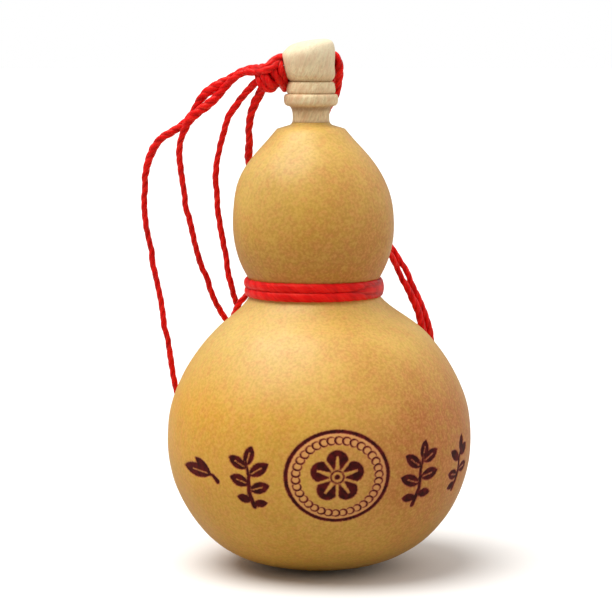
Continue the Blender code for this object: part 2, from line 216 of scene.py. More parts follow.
def smooth_line(points, spacing):
    """Points about `spacing` apart on the natural cubic spline through `points`, in millimetres."""
    knots = np.array(points, float)
    spans = np.linalg.norm(np.diff(knots, axis=0), axis=1)
    places = np.concatenate([[0], np.cumsum(spans)])
    last = len(knots) - 1
    system = np.eye(last + 1)
    bends = np.zeros_like(knots)
    for i in range(1, last):
        system[i, i - 1 : i + 2] = spans[i - 1], 2 * (spans[i - 1] + spans[i]), spans[i]
        bends[i] = 6 * ((knots[i + 1] - knots[i]) / spans[i] - (knots[i] - knots[i - 1]) / spans[i - 1])
    curvature = np.linalg.solve(system, bends)
    along = np.linspace(0, places[-1], round(places[-1] / spacing) + 1)
    i = np.clip(np.searchsorted(places, along, side="right") - 1, 0, last - 1)
    length = spans[i][:, None]
    gone = (along - places[i])[:, None]
    left = length - gone
    line = (curvature[i] * left**3 + curvature[i + 1] * gone**3) / (6 * length)
    line += (knots[i] / length - curvature[i] * length / 6) * left
    line += (knots[i + 1] / length - curvature[i + 1] * length / 6) * gone
    return line


def line_length(line):
    return float(np.linalg.norm(np.diff(line, axis=0), axis=1).sum())


def slow_waves(along, seed, wavelength):
    """An uneven wave from -1 to 1 along a line, the same in every run."""
    draw = np.random.default_rng(seed)
    total = np.zeros_like(along)
    for octave in range(WAVES):
        length = wavelength / (1 + 0.7 * octave)
        total += np.sin(math.tau * along / length + draw.uniform(0, math.tau)) / (1 + octave)
    return total / 2.1  # close to the sum of the four parts


def limp(line, seed):
    """The line with the small kinks that limp cord keeps from being wound up."""
    along = np.linspace(0, line_length(line), len(line))
    fade = ease(along, 0, STRAIGHT_END) * ease(along[-1] - along, 0, STRAIGHT_END)
    kinks = [KINK * fade * slow_waves(along, seed + axis, KINK_LENGTH) for axis in (100, 200, 300)]
    return line + np.stack(kinks, axis=-1)


# %% [markdown]
# ### Plies and twist
# The section's edge is the outside of three rounds. The valley between two plies is where the dark line of the
# twist comes from, so one point of every row sits exactly in each valley, and the rows turn with the twist. Real
# cord is never even, so each ply swells and thins a little along the way.

# %% Cord skin
PLIES = 3
LOOSE_PLY = 0.47  # ply radius where the cord hangs free
KNOTTED_PLY = 0.50  # and in a knot
PRESSED_PLY = 0.56  # and where tension has pressed the plies into each other
POINTS_A_PLY = 7
TWIST_PITCH = 6.4  # for one full turn of the plies
ROW_SPACING = 0.26
BARE_END = 0.5  # a bare end thins to nothing over this length
ANY_WAY = (0.31, 0.77, 0.55)  # a direction that no cord starts out in
SWELL = 0.05  # the share by which the cord swells and thins
SWELL_LENGTH = 11.0
PLY_SWELL = 0.06  # and each of its plies
PLY_SWELL_LENGTH = 7.0


def frames_along(line, closed, upright):
    """Two directions square to the line at each point: carried along it, or `upright` and across."""
    if closed:
        tangent = np.roll(line, -1, axis=0) - np.roll(line, 1, axis=0)
    else:
        tangent = np.gradient(line, axis=0)
    tangent /= np.linalg.norm(tangent, axis=1)[:, None]
    if upright is not None:
        first = np.cross(np.tile(upright, (len(line), 1)), tangent)
        first /= np.linalg.norm(first, axis=1)[:, None]
        return first, np.cross(tangent, first)
    first = np.zeros_like(line)
    first[0] = np.cross(tangent[0], ANY_WAY)
    for i, ahead in enumerate(tangent):
        if i:
            first[i] = first[i - 1] - ahead * np.dot(first[i - 1], ahead)
        first[i] /= np.linalg.norm(first[i])
    return first, np.cross(tangent, first)


def closing_turn(line, first, second):
    """How far the carried directions have turned once round a closed line."""
    tangent = line[1] - line[-1]
    tangent /= np.linalg.norm(tangent)
    carried = first[-1] - tangent * np.dot(first[-1], tangent)
    return math.atan2(np.dot(carried, second[0]), np.dot(carried, first[0]))


def cord_mesh(name, line, seed, closed=False, upright=None, width=1.0, depth=1.0, ply=LOOSE_PLY, thin_ends=False,
              full=((0, 1),), pitch=TWIST_PITCH):
    """Three twisted plies along a line. Width and depth squeeze the section along its two directions.
    `full` says how full the cord is at some places along it, as (millimetres, factor)."""
    first, second = frames_along(line, closed, upright)
    steps = np.linalg.norm(np.diff(line, axis=0, append=line[:1]), axis=1)
    along = np.concatenate([[0], np.cumsum(steps)])
    total = along[-1] if closed else along[-2]
    along = along[:-1]
    turns = math.tau * total / pitch
    if closed:
        untwist = closing_turn(line, first, second) if upright is None else 0
        third = math.tau / PLIES
        turns = round((turns + untwist) / third) * third - untwist
    twist = along / total * turns
    sides = PLIES * POINTS_A_PLY
    inner = np.arange(sides) * math.tau / sides  # angle inside the section, which turns with the plies
    off_middle = (inner % (math.tau / PLIES)) - math.pi / PLIES
    offset = CORD_RADIUS - ply
    reach = offset * np.cos(off_middle) + np.sqrt(ply**2 - (offset * np.sin(off_middle)) ** 2)
    rows = np.tile(reach, (len(line), 1))
    if not closed:
        rows *= (1 + SWELL * slow_waves(along, seed, SWELL_LENGTH))[:, None]
        for number in range(PLIES):
            swell = 1 + PLY_SWELL * slow_waves(along, seed + 10 * (number + 1), PLY_SWELL_LENGTH)
            rows[:, number * POINTS_A_PLY : (number + 1) * POINTS_A_PLY] *= swell[:, None]
    even_rows = rows.copy()
    rows *= np.interp(along, *zip(*full))[:, None]
    if thin_ends:
        ends = np.minimum(along, total - along)
        rows *= np.sqrt(ease(ends, -0.1, BARE_END))[:, None]
    angle = inner[None, :] + twist[:, None]
    across = (rows * np.cos(angle) * width)[..., None] * first[:, None, :]
    up = (rows * np.sin(angle) * depth)[..., None] * second[:, None, :]
    mesh = skin_mesh(name, line[:, None, :] + across + up, ring=closed)
    lengths = np.tile(along[:, None], (1, sides))
    strand = np.stack([even_rows * np.cos(inner), even_rows * np.sin(inner), lengths], axis=-1).reshape(-1, 3)
    if not closed:
        strand = np.vstack([strand, (0, 0, 0), (0, 0, total)])
    note_on_points(mesh, "strand", "FLOAT_VECTOR", strand)
    return mesh


# %% [markdown]
# ### Satin cord, twisted from polyester fibre
# Bright polyester fibre shines along its length: the eye sees a clear red, paler red lights on each ply and deep
# wine red in the valleys. Here the pale specks are painted highlights and the wine red in the valleys is painted
# shade. Real fibres are about 0.02 mm thick, which no render shows, so the fibre pattern is drawn 0.12 mm wide. Its
# coordinates are noted on the cord's own points, so the fibres follow the twist. Polyester has an IOR of 1.58 or
# so. A sheen stands for the loose fibre ends.

# %% Satin cord material
FIBRE_WIDTH = 0.12
FIBRE_LENGTH = 2.5
CLUMPS = (0.9, 0.9, 0.35)  # clumps of fibres in a millimetre, across and along

satin_cord, tree, shader = finish_material("twisted_satin_polyester")
strand = add(tree, "Attribute", attribute_name="strand").outputs["Vector"]
fibre_grid = (1 / FIBRE_WIDTH, 1 / FIBRE_WIDTH, 1 / FIBRE_LENGTH)
fibre_place = add(tree, "VectorMath MULTIPLY", (strand, fibre_grid))
fibres = add(tree, "TexNoise", {"Vector": fibre_place, "Scale": 1.0, "Detail": 3.0, "Roughness": 0.6})
clump_place = add(tree, "VectorMath MULTIPLY", (strand, CLUMPS))
clumps = add(tree, "TexNoise", {"Vector": clump_place, "Scale": 1.0, "Detail": 2.0})
section = add(tree, "VectorMath MULTIPLY", (strand, (1, 1, 0)))
from_axis = add(tree, "VectorMath LENGTH", (section,))
body = painted(
    tree, colour("#E2030D"),
    (fibres, "#FF1E20"),
    (clumps, 0.50, 0.75, 0.5, "#FF3024"),  # warmer here and there
    (fibres, 0.56, 0.72, 0.45, "#FF6450"),  # painted highlights: pale specks on the fibres
    (clumps, 0.52, 0.34, 0.6, "#BE040E"),  # deeper here and there
    (from_axis, 0.61, 0.50, 1.0, "#AE040C"),  # painted shade in the valleys between the plies
)
gloss = add(tree, "MapRange", {"Value": fibres, "From Min": 0.3, "From Max": 0.7, "To Min": 0.30, "To Max": 0.48})
relief = add(tree, "Bump", {"Height": fibres, "Strength": 0.55, "Distance": 0.06 * MM})
fill(tree, shader, {
    "Base Color": body, "Roughness": gloss, "Normal": relief, "IOR": 1.58,
    "Subsurface Weight": 0.6, "Subsurface Scale": 0.9 * MM, "Subsurface Radius": (1.0, 0.12, 0.10),
    "Specular Tint": colour("#FF8A70"), "Specular IOR Level": 0.4,
    "Sheen Weight": 0.15, "Sheen Roughness": 0.4, "Sheen Tint": colour("#FF3828"),
})
print("satin cord:", len(tree.nodes), "nodes")

# %% [markdown]
# ## The free strands
# One long cord makes all of this on the real gourd. The camera sees six stretches of it, and each is its own piece
# here. The numbers are points along each one, chosen one by one for the CAD model, where the photograph shows it
# and along the shortest easy way behind the gourd.

# %% Routes of the free strands, in millimetres
HANGING_LOOP = [
    (-13.5, 1.0, 100.5), (-15.7, 1.7, 99.8), (-17.6, 2.4, 98.6), (-20.9, 3.3, 96.7), (-23.3, 4.2, 95.0),
    (-25.2, 5.2, 92.1), (-27.1, 6.2, 89.5), (-29.7, 7.0, 87.7), (-31.9, 7.7, 86.4), (-33.8, 8.8, 83.9),
    (-34.9, 9.7, 81.0), (-35.8, 11.4, 72.0), (-35.0, 12.6, 64.9), (-33.4, 13.5, 56.0), (-30.9, 15.2, 40.5),
    (-29.7, 16.6, 33.0), (-28.1, 19.0, 23.6), (-25.9, 22.4, 13.8), (-23.0, 26.6, 5.2), (-20.4, 30.2, 1.6),
    (-16.6, 33.4, 0.8), (-12.4, 34.6, 1.1), (-9.9, 32.9, 4.4), (-10.2, 31.4, 11.6), (-12.8, 30.0, 29.0),
    (-14.8, 26.6, 37.4), (-17.2, 20.6, 44.6), (-19.8, 15.2, 49.0), (-22.5, 12.1, 55.3), (-24.4, 10.4, 61.0),
    (-27.7, 6.8, 76.8), (-28.2, 5.9, 81.6), (-27.8, 4.6, 86.6), (-26.3, 3.8, 89.8), (-24.1, 3.1, 91.9),
    (-21.7, 2.5, 93.8), (-19.3, 1.7, 96.25), (-16.8, 0.7, 98.7), (-15.3, 0.0, 99.6), (-13.7, -0.6, 99.8),
]
LOOSE_TAIL = [
    (-13.1, 0.1, 97.3), (-16.3, 1.6, 93.8), (-18.1, 2.3, 90.7), (-19.5, 3.2, 86.9), (-20.5, 4.2, 82.6),
    (-20.9, 5.2, 78.2), (-20.8, 6.2, 74.0), (-20.3, 6.8, 69.8), (-19.7, 7.3, 65.8), (-18.9, 7.8, 61.2),
    (-18.0, 8.6, 56.1), (-16.9, 11.6, 51.8), (-15.1, 17.2, 47.8), (-13.0, 22.4, 43.4), (-10.8, 27.0, 38.4),
    (-8.2, 30.8, 32.9),
]
NECK_TETHER = [
    (-11.8, 0.8, 95.6), (-13.2, 1.7, 92.9), (-13.9, 2.7, 90.0), (-14.2, 3.9, 87.1), (-14.3, 5.4, 84.3),
    (-14.3, 7.3, 81.8), (-13.9, 9.3, 79.4), (-13.3, 11.3, 77.0), (-12.5, 12.9, 74.4), (-11.6, 14.2, 71.6),
    (-10.6, 15.1, 68.8), (-9.4, 15.5, 65.9), (-7.9, 15.6, 63.0), (-6.0, 15.6, 60.6), (-3.3, 15.9, 58.9),
]
OUTER_TETHER = [
    (-7.2, -0.1, 102.15), (-2.4, 1.5, 102.6), (1.4, 2.65, 103.15), (2.5, 2.6, 103.2), (3.7, 2.5, 101.9),
    (4.0, 2.8, 100.3), (3.95, 3.2, 98.0), (3.5, 4.0, 95.8), (2.6, 4.9, 93.8), (1.6, 6.0, 91.9),
    (1.0, 7.9, 89.3), (1.3, 10.2, 85.8), (2.6, 12.6, 82.4), (4.1, 14.4, 78.8), (6.8, 15.4, 74.2),
    (10.1, 15.0, 69.0), (13.1, 13.6, 65.6), (15.5, 12.6, 62.9), (17.2, 12.6, 60.0), (18.6, 12.6, 57.1),
    (19.8, 12.6, 54.5), (21.1, 12.7, 51.8), (22.1, 13.0, 48.7), (23.0, 14.0, 45.2), (23.6, 17.6, 41.6),
    (22.2, 22.0, 39.0), (18.2, 24.9, 39.2), (14.0, 25.8, 42.2), (10.3, 24.6, 46.2), (7.2, 22.0, 50.4),
    (4.6, 19.0, 54.6), (1.9, 16.9, 57.5),
]
INNER_TETHER = [
    (-7.2, -0.1, 100.4), (-2.4, 1.5, 100.85), (1.2, 2.65, 101.25), (2.4, 3.05, 101.25), (3.3, 3.85, 100.85),
    (3.6, 5.1, 99.9), (3.3, 6.2, 98.6), (2.4, 6.9, 96.8), (1.3, 7.2, 94.6), (0.2, 7.4, 92.1),
    (-0.4, 8.5, 89.2), (-0.2, 11.0, 85.6), (0.8, 13.5, 81.8), (2.8, 15.4, 77.6), (5.8, 16.4, 72.6),
    (9.0, 15.5, 67.4), (12.0, 12.8, 64.2), (14.3, 11.2, 62.4), (16.0, 11.2, 59.6), (17.4, 11.2, 56.8),
    (18.6, 11.2, 54.4), (19.8, 11.2, 51.9), (20.8, 11.4, 49.1), (21.6, 12.4, 45.6), (22.0, 15.7, 41.9),
    (20.6, 20.0, 39.4), (17.0, 23.0, 39.2), (13.0, 23.8, 41.8), (9.5, 22.9, 45.6), (6.6, 20.6, 49.4),
    (4.2, 18.1, 52.9), (1.6, 16.3, 55.7),
]
WAIST_TAIL = [
    (-4.1, 15.9, 55.4), (-6.5, 15.4, 54.7), (-8.9, 14.4, 54.5), (-10.9, 12.8, 54.7), (-12.7, 10.9, 54.8),
    (-14.1, 8.8, 54.8), (-15.5, 7.4, 53.6), (-16.8, 8.1, 51.7), (-17.5, 10.1, 50.1), (-17.9, 12.4, 48.6),
    (-18.3, 14.4, 47.0), (-18.8, 16.1, 45.4), (-19.3, 17.8, 43.7), (-18.8, 19.7, 42.1), (-18.2, 21.6, 40.4),
]

# %% [markdown]
# ### The strands' table
# Each strand is listed with its route, its length, what is on its far end and how it lies. The lengths are those of
# the strands on the real gourd, as read from the photograph.

# %% The six strands
STRANDS = {  # route, real length in metres, far end, how it lies
    "hanging_loop": (HANGING_LOOP, 0.243, "object", "hanging"),
    "loose_tail": (LOOSE_TAIL, 0.079, "knot", "hanging"),
    "neck_tether": (NECK_TETHER, 0.044, "object", "loose"),
    "outer_tether": (OUTER_TETHER, 0.122, "object", "loose"),
    "inner_tether": (INNER_TETHER, 0.119, "object", "loose"),
    "waist_tail": (WAIST_TAIL, 0.036, "bare", "loose"),
}
FULLER = {  # where the plies have opened and the cord is broader: (millimetres along it, factor)
    "hanging_loop": ((0, 1.1), (4, 1.3), (8, 1.65), (12, 1.5), (16, 1.2), (22, 1.3), (28, 1.35), (34, 1.1),
                     (40, 1.0), (214, 1.0), (224, 1.1), (228, 1.45), (232, 1.6), (236, 1.35), (240, 1.15)),
    "loose_tail": ((0, 1.2), (6, 1.15), (12, 1.0)),
    "neck_tether": ((0, 1.5), (5, 1.3), (9, 1.15), (15, 1.35), (20, 1.1), (26, 1.0)),
    "outer_tether": ((9, 1.0), (11, 1.2), (14, 1.35), (18, 1.25), (22, 1.0), (66, 1.0), (72, 1.15), (80, 1.2),
                     (86, 1.0)),
    "inner_tether": ((9, 1.0), (11, 1.2), (16, 1.2), (20, 1.0), (66, 1.0), (72, 1.25), (80, 1.3), (86, 1.0)),
    "waist_tail": ((0, 1.0),),
}
for seed, (name, (route, length, far_end, lay)) in enumerate(STRANDS.items()):
    line = limp(smooth_line(route, ROW_SPACING), seed)
    mesh = cord_mesh(name + "_cord", line, seed + 1, thin_ends=far_end == "bare", full=FULLER[name])
    put(mesh, satin_cord, name)
    print(f"{name}: {line_length(line):.1f} mm of cord")

# %% [markdown]
# ## The binding round the waist
# Two turns of the same cord, pulled tight, go round the waist. Tension spreads each one to about 1.7 mm high and
# flattens it against the rind. They are closed rings here, because the knot that ends them is behind. At the right
# the cord's end has spread out and lies over both, so the crease between them fades away under it.

# %% The gourd's own shape, needed to fit the binding
WAIST_LEAN = -1.2
WAIST_LEAN_HEIGHTS = (47.0, 58.0)
NECK_LEAN = -0.5
NECK_LEAN_HEIGHTS = (72.0, 82.0)
FLATTENING = 0.010
LOBING = 0.004
LOBES = 3


def gourd_point(radius, angle, height):
    """Points of the gourd's skin, with its lean, its flattening and its three faint lobes."""
    lean = WAIST_LEAN * ease(height, *WAIST_LEAN_HEIGHTS) + NECK_LEAN * ease(height, *NECK_LEAN_HEIGHTS)
    reach = radius * (1 - FLATTENING * np.sin(angle) ** 2)
    reach = reach + radius * LOBING * np.sin(LOBES * angle) * np.cos(angle)
    height = height + 0 * reach
    return np.stack([lean + reach * np.cos(angle), reach * np.sin(angle), height], axis=-1)


# %% Two flattened turns and the lap over them
UPRIGHT = (0, 0, 1)
BINDING_RADIUS = 13.35
BINDING_HEIGHT = 56.85
TURN_HEIGHT = 1.98
TURN_SPACING = 1.72
TURN_THICKNESS = 1.3
WAVER = 0.07  # how far a turn strays up and down
LAP = (math.radians(-60), math.radians(80))  # where the cord's end laps over both turns, from the right
LAP_RADIUS = 13.5
LAP_HEIGHT = 3.5
LAP_THICKNESS = 1.35
LAP_PITCH = 170.0  # its plies have untwisted, so they lie side by side
TURN_ROWS, LAP_ROWS = 330, 110


def joined(name, meshes):
    """One mesh from several, their notes on points kept."""
    group = [new_object(mesh.name, mesh) for mesh in meshes]
    with bpy.context.temp_override(active_object=group[0], selected_editable_objects=group):
        bpy.ops.object.join()
    mesh = group[0].data
    bpy.data.objects.remove(group[0], do_unlink=True)
    mesh.name = name
    return mesh


def squeeze(thickness, height):
    """How much a cord is squeezed to be this thick and this high."""
    return {"width": thickness / (2 * CORD_RADIUS), "depth": height / (2 * CORD_RADIUS), "ply": PRESSED_PLY}


around = np.linspace(0, math.tau, TURN_ROWS, endpoint=False)
turns = []
for number, side in enumerate((-0.5, 0.5)):
    waver = WAVER * slow_waves(around * BINDING_RADIUS, 40 + number, BINDING_RADIUS * math.tau / 3)
    waver *= np.minimum(1, 1.5 * np.sin(around / 2) ** 2)  # even where the lap covers it
    line = gourd_point(BINDING_RADIUS, around, BINDING_HEIGHT + side * TURN_SPACING + waver)
    turns.append(cord_mesh(f"turn_{number}", line, 50 + number, closed=True, upright=UPRIGHT,
                           **squeeze(TURN_THICKNESS, TURN_HEIGHT)))
line = gourd_point(LAP_RADIUS, np.linspace(*LAP, LAP_ROWS), BINDING_HEIGHT)
end = line_length(line)
spread = ((0, 0.15), (2.5, 0.55), (6, 0.92), (10, 1.0), (end - 6, 0.95), (end, 0.3))
turns.append(cord_mesh("lap", line, 53, upright=UPRIGHT, full=spread, pitch=LAP_PITCH,
                       **squeeze(LAP_THICKNESS, LAP_HEIGHT)))
put(joined("waist_binding_cord", turns), satin_cord, "waist_binding")

# %% [markdown]
# ## The knots
# A knot is nothing but cord, so each is made of turns of the same twisted cord, round a small core that only stops
# the light between them. Each turn is an oval: its middle, the direction it runs in as the camera sees it, and how
# far it reaches that way and front to back.

# %% Knot helpers
CORE_GRAIN = 0.3  # scale of the fibres on a knot's core
CORE_LEVELS = np.radians(np.linspace(-85, 85, 18))[:, None]  # its rows lie at these angles, as on a globe


def oval(middle, run, half_run, half_depth):
    """A closed line: an oval round `middle` that runs along `run` in front and comes back behind."""
    run = np.array(run, float) / np.linalg.norm(run)
    deep = np.array((0.0, -1.0, 0.0))
    deep -= run * np.dot(deep, run)
    deep /= np.linalg.norm(deep)
    steps = round(math.tau * (half_run + half_depth) / 2 / ROW_SPACING)
    angle = np.linspace(0, math.tau, steps, endpoint=False)[:, None]
    return np.array(middle) + half_run * np.cos(angle) * run + half_depth * np.sin(angle) * deep


def core(middle, half_size):
    """A small round that fills a knot's middle."""
    ring = np.linspace(0, math.tau, PLIES * POINTS_A_PLY, endpoint=False)
    reach, rise = np.cos(CORE_LEVELS), np.sin(CORE_LEVELS)
    rows = np.stack([np.cos(ring) * reach, np.sin(ring) * reach, rise + 0 * ring], axis=-1)
    mesh = skin_mesh("core", rows * half_size + middle)
    places = np.array([vertex.co for vertex in mesh.vertices]) / MM
    note_on_points(mesh, "strand", "FLOAT_VECTOR", places * CORE_GRAIN)
    return mesh


def knot(node, middle, half_size, strands, seed, wraps=(), ply=LOOSE_PLY):
    """A knot: a core, closed wraps round it, and strands (route, how full) that run through it."""
    pieces = [core(middle, half_size)]
    for wrap in wraps:
        pieces.append(cord_mesh("wrap", oval(*wrap), seed, closed=True, ply=KNOTTED_PLY))
    for number, (route, full) in enumerate(strands):
        line = smooth_line(route, ROW_SPACING)
        pieces.append(cord_mesh("strand", line, seed + number, ply=ply, full=((0, full),)))
    return put(joined(node + "_cord", pieces), satin_cord, node)


# %% The stopper's knot
KNOT_STRANDS = {  # route, how full
    "over_upper": ([(-6.7, 0.6, 102.35), (-8.1, -1.2, 102.55), (-9.4, -2.1, 101.75), (-10.6, -2.4, 100.65),
                    (-12.0, -1.2, 100.4), (-13.3, 0.5, 100.4), (-14.6, 1.3, 100.1)], 1.35),
    "over_lower": ([(-6.8, 0.2, 101.9), (-8.1, -1.6, 101.6), (-9.4, -2.9, 100.7), (-10.8, -2.9, 100.1),
                    (-12.1, -1.8, 99.85), (-13.5, -0.8, 99.8), (-14.9, -0.1, 99.75)], 1.2),
    "knob_side": ([(-8.2, -0.4, 102.6), (-8.0, -1.9, 101.3), (-7.7, -2.2, 100.0), (-7.3, -1.5, 98.9),
                   (-7.1, -0.4, 98.2), (-6.75, 0.9, 97.6), (-6.4, 2.1, 97.1), (-7.0, 3.1, 97.9),
                   (-8.6, 3.2, 99.2), (-10.2, 2.7, 100.3), (-11.3, 1.6, 100.6), (-11.7, 0.2, 100.3)], 1.3),
    "beside_it": ([(-9.7, -0.9, 101.6), (-9.3, -2.2, 100.4), (-8.8, -2.6, 99.2), (-8.2, -2.0, 98.3),
                   (-7.7, -0.9, 97.7), (-7.25, 0.6, 97.05), (-6.85, 2.2, 96.45), (-7.3, 3.2, 96.9),
                   (-8.6, 3.4, 98.2), (-10.2, 2.6, 99.3), (-11.6, 1.2, 99.6), (-12.1, -0.1, 99.3)], 1.25),
    "back_right": ([(-7.1, 0.6, 102.0), (-8.0, 2.1, 101.3), (-8.2, 2.7, 100.0), (-7.4, 2.2, 98.9),
                    (-6.5, 1.5, 98.1), (-6.4, 0.7, 97.0)], 1.2),
    "lobe_inner": ([(-11.5, -0.9, 100.2), (-10.9, -2.4, 98.9), (-10.0, -2.6, 97.6), (-9.2, -1.7, 97.2),
                    (-8.6, -0.3, 97.7)], 1.4),
    "lobe_outer": ([(-12.2, -0.3, 99.6), (-11.8, -1.5, 98.0), (-11.0, -1.9, 96.75), (-9.9, -1.8, 96.5),
                    (-8.9, -0.8, 97.0), (-8.6, 0.4, 98.0)], 1.3),
    "to_loose_tail": ([(-10.9, 0.2, 98.9), (-12.2, 0.0, 98.1), (-13.5, 0.25, 96.9)], 1.2),
    "to_neck_tether": ([(-10.4, 0.2, 97.6), (-11.2, 0.4, 96.8), (-11.9, 0.9, 95.3)], 1.45),
    "to_outer_tether": ([(-9.4, 0.3, 100.9), (-8.2, -0.1, 101.8), (-6.8, 0.0, 102.2)], 1.0),
    "to_inner_tether": ([(-9.4, 0.3, 100.2), (-8.2, 0.0, 100.3), (-6.8, 0.0, 100.45)], 1.0),
}
knot("stopper_knot", (-9.9, 0.3, 99.1), (2.1, 1.8, 2.2), KNOT_STRANDS.values(), 60, ply=KNOTTED_PLY)

# %% The knot behind the waist, and the small knot at the end of the loose tail
WAIST_WRAPS = [  # middle, direction it runs in, half its run, half its depth
    ((-1.9, 15.9, 56.6), (0.4, 0, -0.9), 1.6, 0.85),
    ((-0.6, 15.9, 56.5), (0.45, 0, -0.9), 1.6, 0.85),
    ((-1.2, 16.2, 56.6), (0.95, 0, 0.3), 2.1, 0.6),
]
WAIST_STRANDS = [
    ([(-1.0, 15.9, 56.3), (-2.6, 16.3, 55.9), (-4.3, 15.9, 55.35), (-5.4, 15.65, 55.0)], 1.0),
    ([(-1.4, 15.9, 57.2), (-2.4, 16.3, 58.2), (-3.6, 15.9, 59.2)], 1.0),
    ([(-0.6, 16.1, 57.0), (0.8, 16.8, 57.4), (2.3, 16.95, 57.2)], 1.0),
    ([(-0.6, 15.9, 56.2), (0.6, 16.4, 55.9), (1.9, 16.35, 55.5)], 1.0),
]
TAIL_WRAPS = [
    ((-7.5, 31.4, 31.4), (0.9, 0, 0.35), 0.95, 0.8),
    ((-7.5, 31.4, 30.6), (0.9, 0, -0.3), 0.95, 0.8),
]
TAIL_STRANDS = [  # the loose tail's end, on its way through its knot
    ([(-8.6, 30.25, 33.7), (-8.2, 30.8, 32.9), (-7.75, 31.25, 31.9), (-7.4, 31.4, 30.8), (-7.1, 31.2, 29.7),
      (-6.9, 31.0, 29.0)], 1.0),
]
knot("waist_knot", (-1.2, 15.7, 56.6), (2.0, 0.9, 1.4), WAIST_STRANDS, 80, WAIST_WRAPS)
tail_knot = knot("tail_knot", (-7.5, 31.4, 31.1), (0.9, 0.8, 1.2), TAIL_STRANDS, 85, TAIL_WRAPS)

# %% Each strand's route as a smooth line, in metres
for name, (route, length, far_end, lay) in STRANDS.items():
    path = smooth_line(route, 1.0) * MM

# %% [markdown]
# ## The gourd
# A bottle gourd is one dried fruit. It could be sculpted, but its outline is so even that turning an outline is
# closer: the same outline as in the CAD model, with its lean, its faint lobes and an unevenness of a tenth of a
# millimetre that only the light shows. The points lie closest where the burnt pattern is, so that the burnt lines
# can be sunk into the rind.

# %% The gourd's outline
GOURD_OUTLINE = [
    (5.0, 0.0), (10.4, 0.9), (17.1, 3.0), (22.8, 7.0), (26.8, 12.2), (29.6, 18.4), (30.65, 25.8),
    (29.3, 34.8), (25.6, 42.4), (20.4, 48.6), (14.7, 53.1), (12.6, 56.4), (13.85, 59.8), (15.55, 64.0),
    (16.2, 70.6), (15.1, 77.0), (11.9, 82.8), (8.5, 86.6), (6.8, 88.5),
]
RIM_RADIUS = 4.3
RIM_HEIGHT = 89.8
SOCKET_RADIUS = 3.2
SOCKET_DEPTH = 7.0
WIDEST_RADIUS = 30.65
FINE_STEP = 0.22
MIDDLE_STEP = 0.34
COARSE_STEP = 1.3
UP_ZONES = [(-10, 3.6, MIDDLE_STEP), (-12.6, 7.0, FINE_STEP)]  # up the skin from its widest place
ROUND_ZONES = [(-33, 40, MIDDLE_STEP), (-7.6, 14.6, FINE_STEP)]  # round the skin from the front


def stepped(start, end, zones):
    """Places from start to end, closer together inside the zones (low, high, step)."""
    places = [start]
    while places[-1] < end:
        steps = [step for low, high, step in zones if low - 1 <= places[-1] <= high]
        places.append(places[-1] + min(steps + [COARSE_STEP]))
    places = np.array(places)
    return start + (places - start) * (end - start) / (places[-1] - start)


profile = smooth_line(GOURD_OUTLINE, 0.05)
profile_length = np.concatenate([[0], np.cumsum(np.linalg.norm(np.diff(profile, axis=0), axis=1))])
widest = profile_length[np.argmax(profile[:, 0])]
up_skin = stepped(-widest, profile_length[-1] - widest, UP_ZONES)
half_round = math.pi * WIDEST_RADIUS
round_skin = stepped(-half_round, half_round, ROUND_ZONES)[:-1]
print(f"gourd net: {len(up_skin)} rows of {len(round_skin)} points")

# %% [markdown]
# ### The burnt pattern
# A hot stylus drew a round medallion with a chain border on the front, with ornament on each side. Here the middle
# of the medallion holds a five-petalled blossom, and leafy sprigs stand beside it. Each form is a distance in
# millimetres: below zero inside the burn, above zero outside. Distances combine well, since the smaller of two is
# the union of their forms, and one threshold gives every burn its soft scorched edge.

# %% Burnt forms as distances
MEDALLION = np.array((3.45, -2.8))  # its middle on the skin: millimetres round from the front, and up
MEDALLION_HALF = (10.65, 9.35)
FAR = 99.0  # a distance from no form at all
RIB_HALF_WIDTH = 0.10
RIBBED = 1.05  # leaves with a bigger half width than this have a rib
STEM_HALF_WIDTH = 0.55
PETALS = 5
PETAL_OUT, PETAL_RADIUS = 3.25, 2.15
SLIT_OUT, SLIT_HALF_LENGTH, SLIT_HALF_WIDTH = 2.8, 1.35, 0.36
SLIT_WIDTH_AT, SLIT_TAPER = 2.6, 3.6  # where it has that half width, and how much further out it would have none
GAP_HALF_WIDTH, GAP_START = 0.27, 0.9  # the pale line between two petals
EYE_RADIUS = 0.55
EYE_RING, EYE_RING_HALF_WIDTH = 1.25, 0.17
CLEAR_RADIUS = 1.62  # the petals stay outside it


def leaf(place, base, tip, half_width):
    """Distance from a leaf, which is the overlap of two discs, with a pale rib left along its middle."""
    base, tip = np.array(base, float), np.array(tip, float)
    length = np.linalg.norm(tip - base)
    along = (tip - base) / length
    across = np.array((-along[1], along[0]))
    from_middle = place - (base + tip) / 2
    x, y = from_middle @ along, from_middle @ across
    radius = (length**2 / 4 + half_width**2) / (2 * half_width)
    blade = np.maximum(np.hypot(x, y - radius + half_width), np.hypot(x, y + radius - half_width)) - radius
    rib = np.maximum(np.abs(y) - RIB_HALF_WIDTH, np.abs(x + 0.10 * length) - 0.26 * length)
    return np.maximum(blade, -rib) if half_width > RIBBED else blade


def stem(place, points, half_width):
    """Distance from a line of short straight strokes that thins towards its end."""
    result = np.full(place.shape[:-1], FAR)
    for number, (start, end) in enumerate(zip(points, points[1:])):
        start, end = np.array(start, float), np.array(end, float)
        run = end - start
        share = np.clip((place - start) @ run / (run @ run), 0, 1)
        thin = half_width * (1 - 0.5 * (number + share) / (len(points) - 1))
        away = place - start - share[..., None] * run
        result = np.minimum(result, np.linalg.norm(away, axis=-1) - thin)
    return result


def sprig(place, points, leaves):
    """Distance from a stem with leaves (base, tip, half width)."""
    forms = [stem(place, points, STEM_HALF_WIDTH)] + [leaf(place, *each) for each in leaves]
    return np.minimum.reduce(forms)


def petal_axes(place, turn):
    """How far a point is out along a direction, and how far off it to either side."""
    turn = math.radians(turn)
    out = np.array((math.cos(turn), math.sin(turn)))
    return place @ out, place @ np.array((-out[1], out[0]))


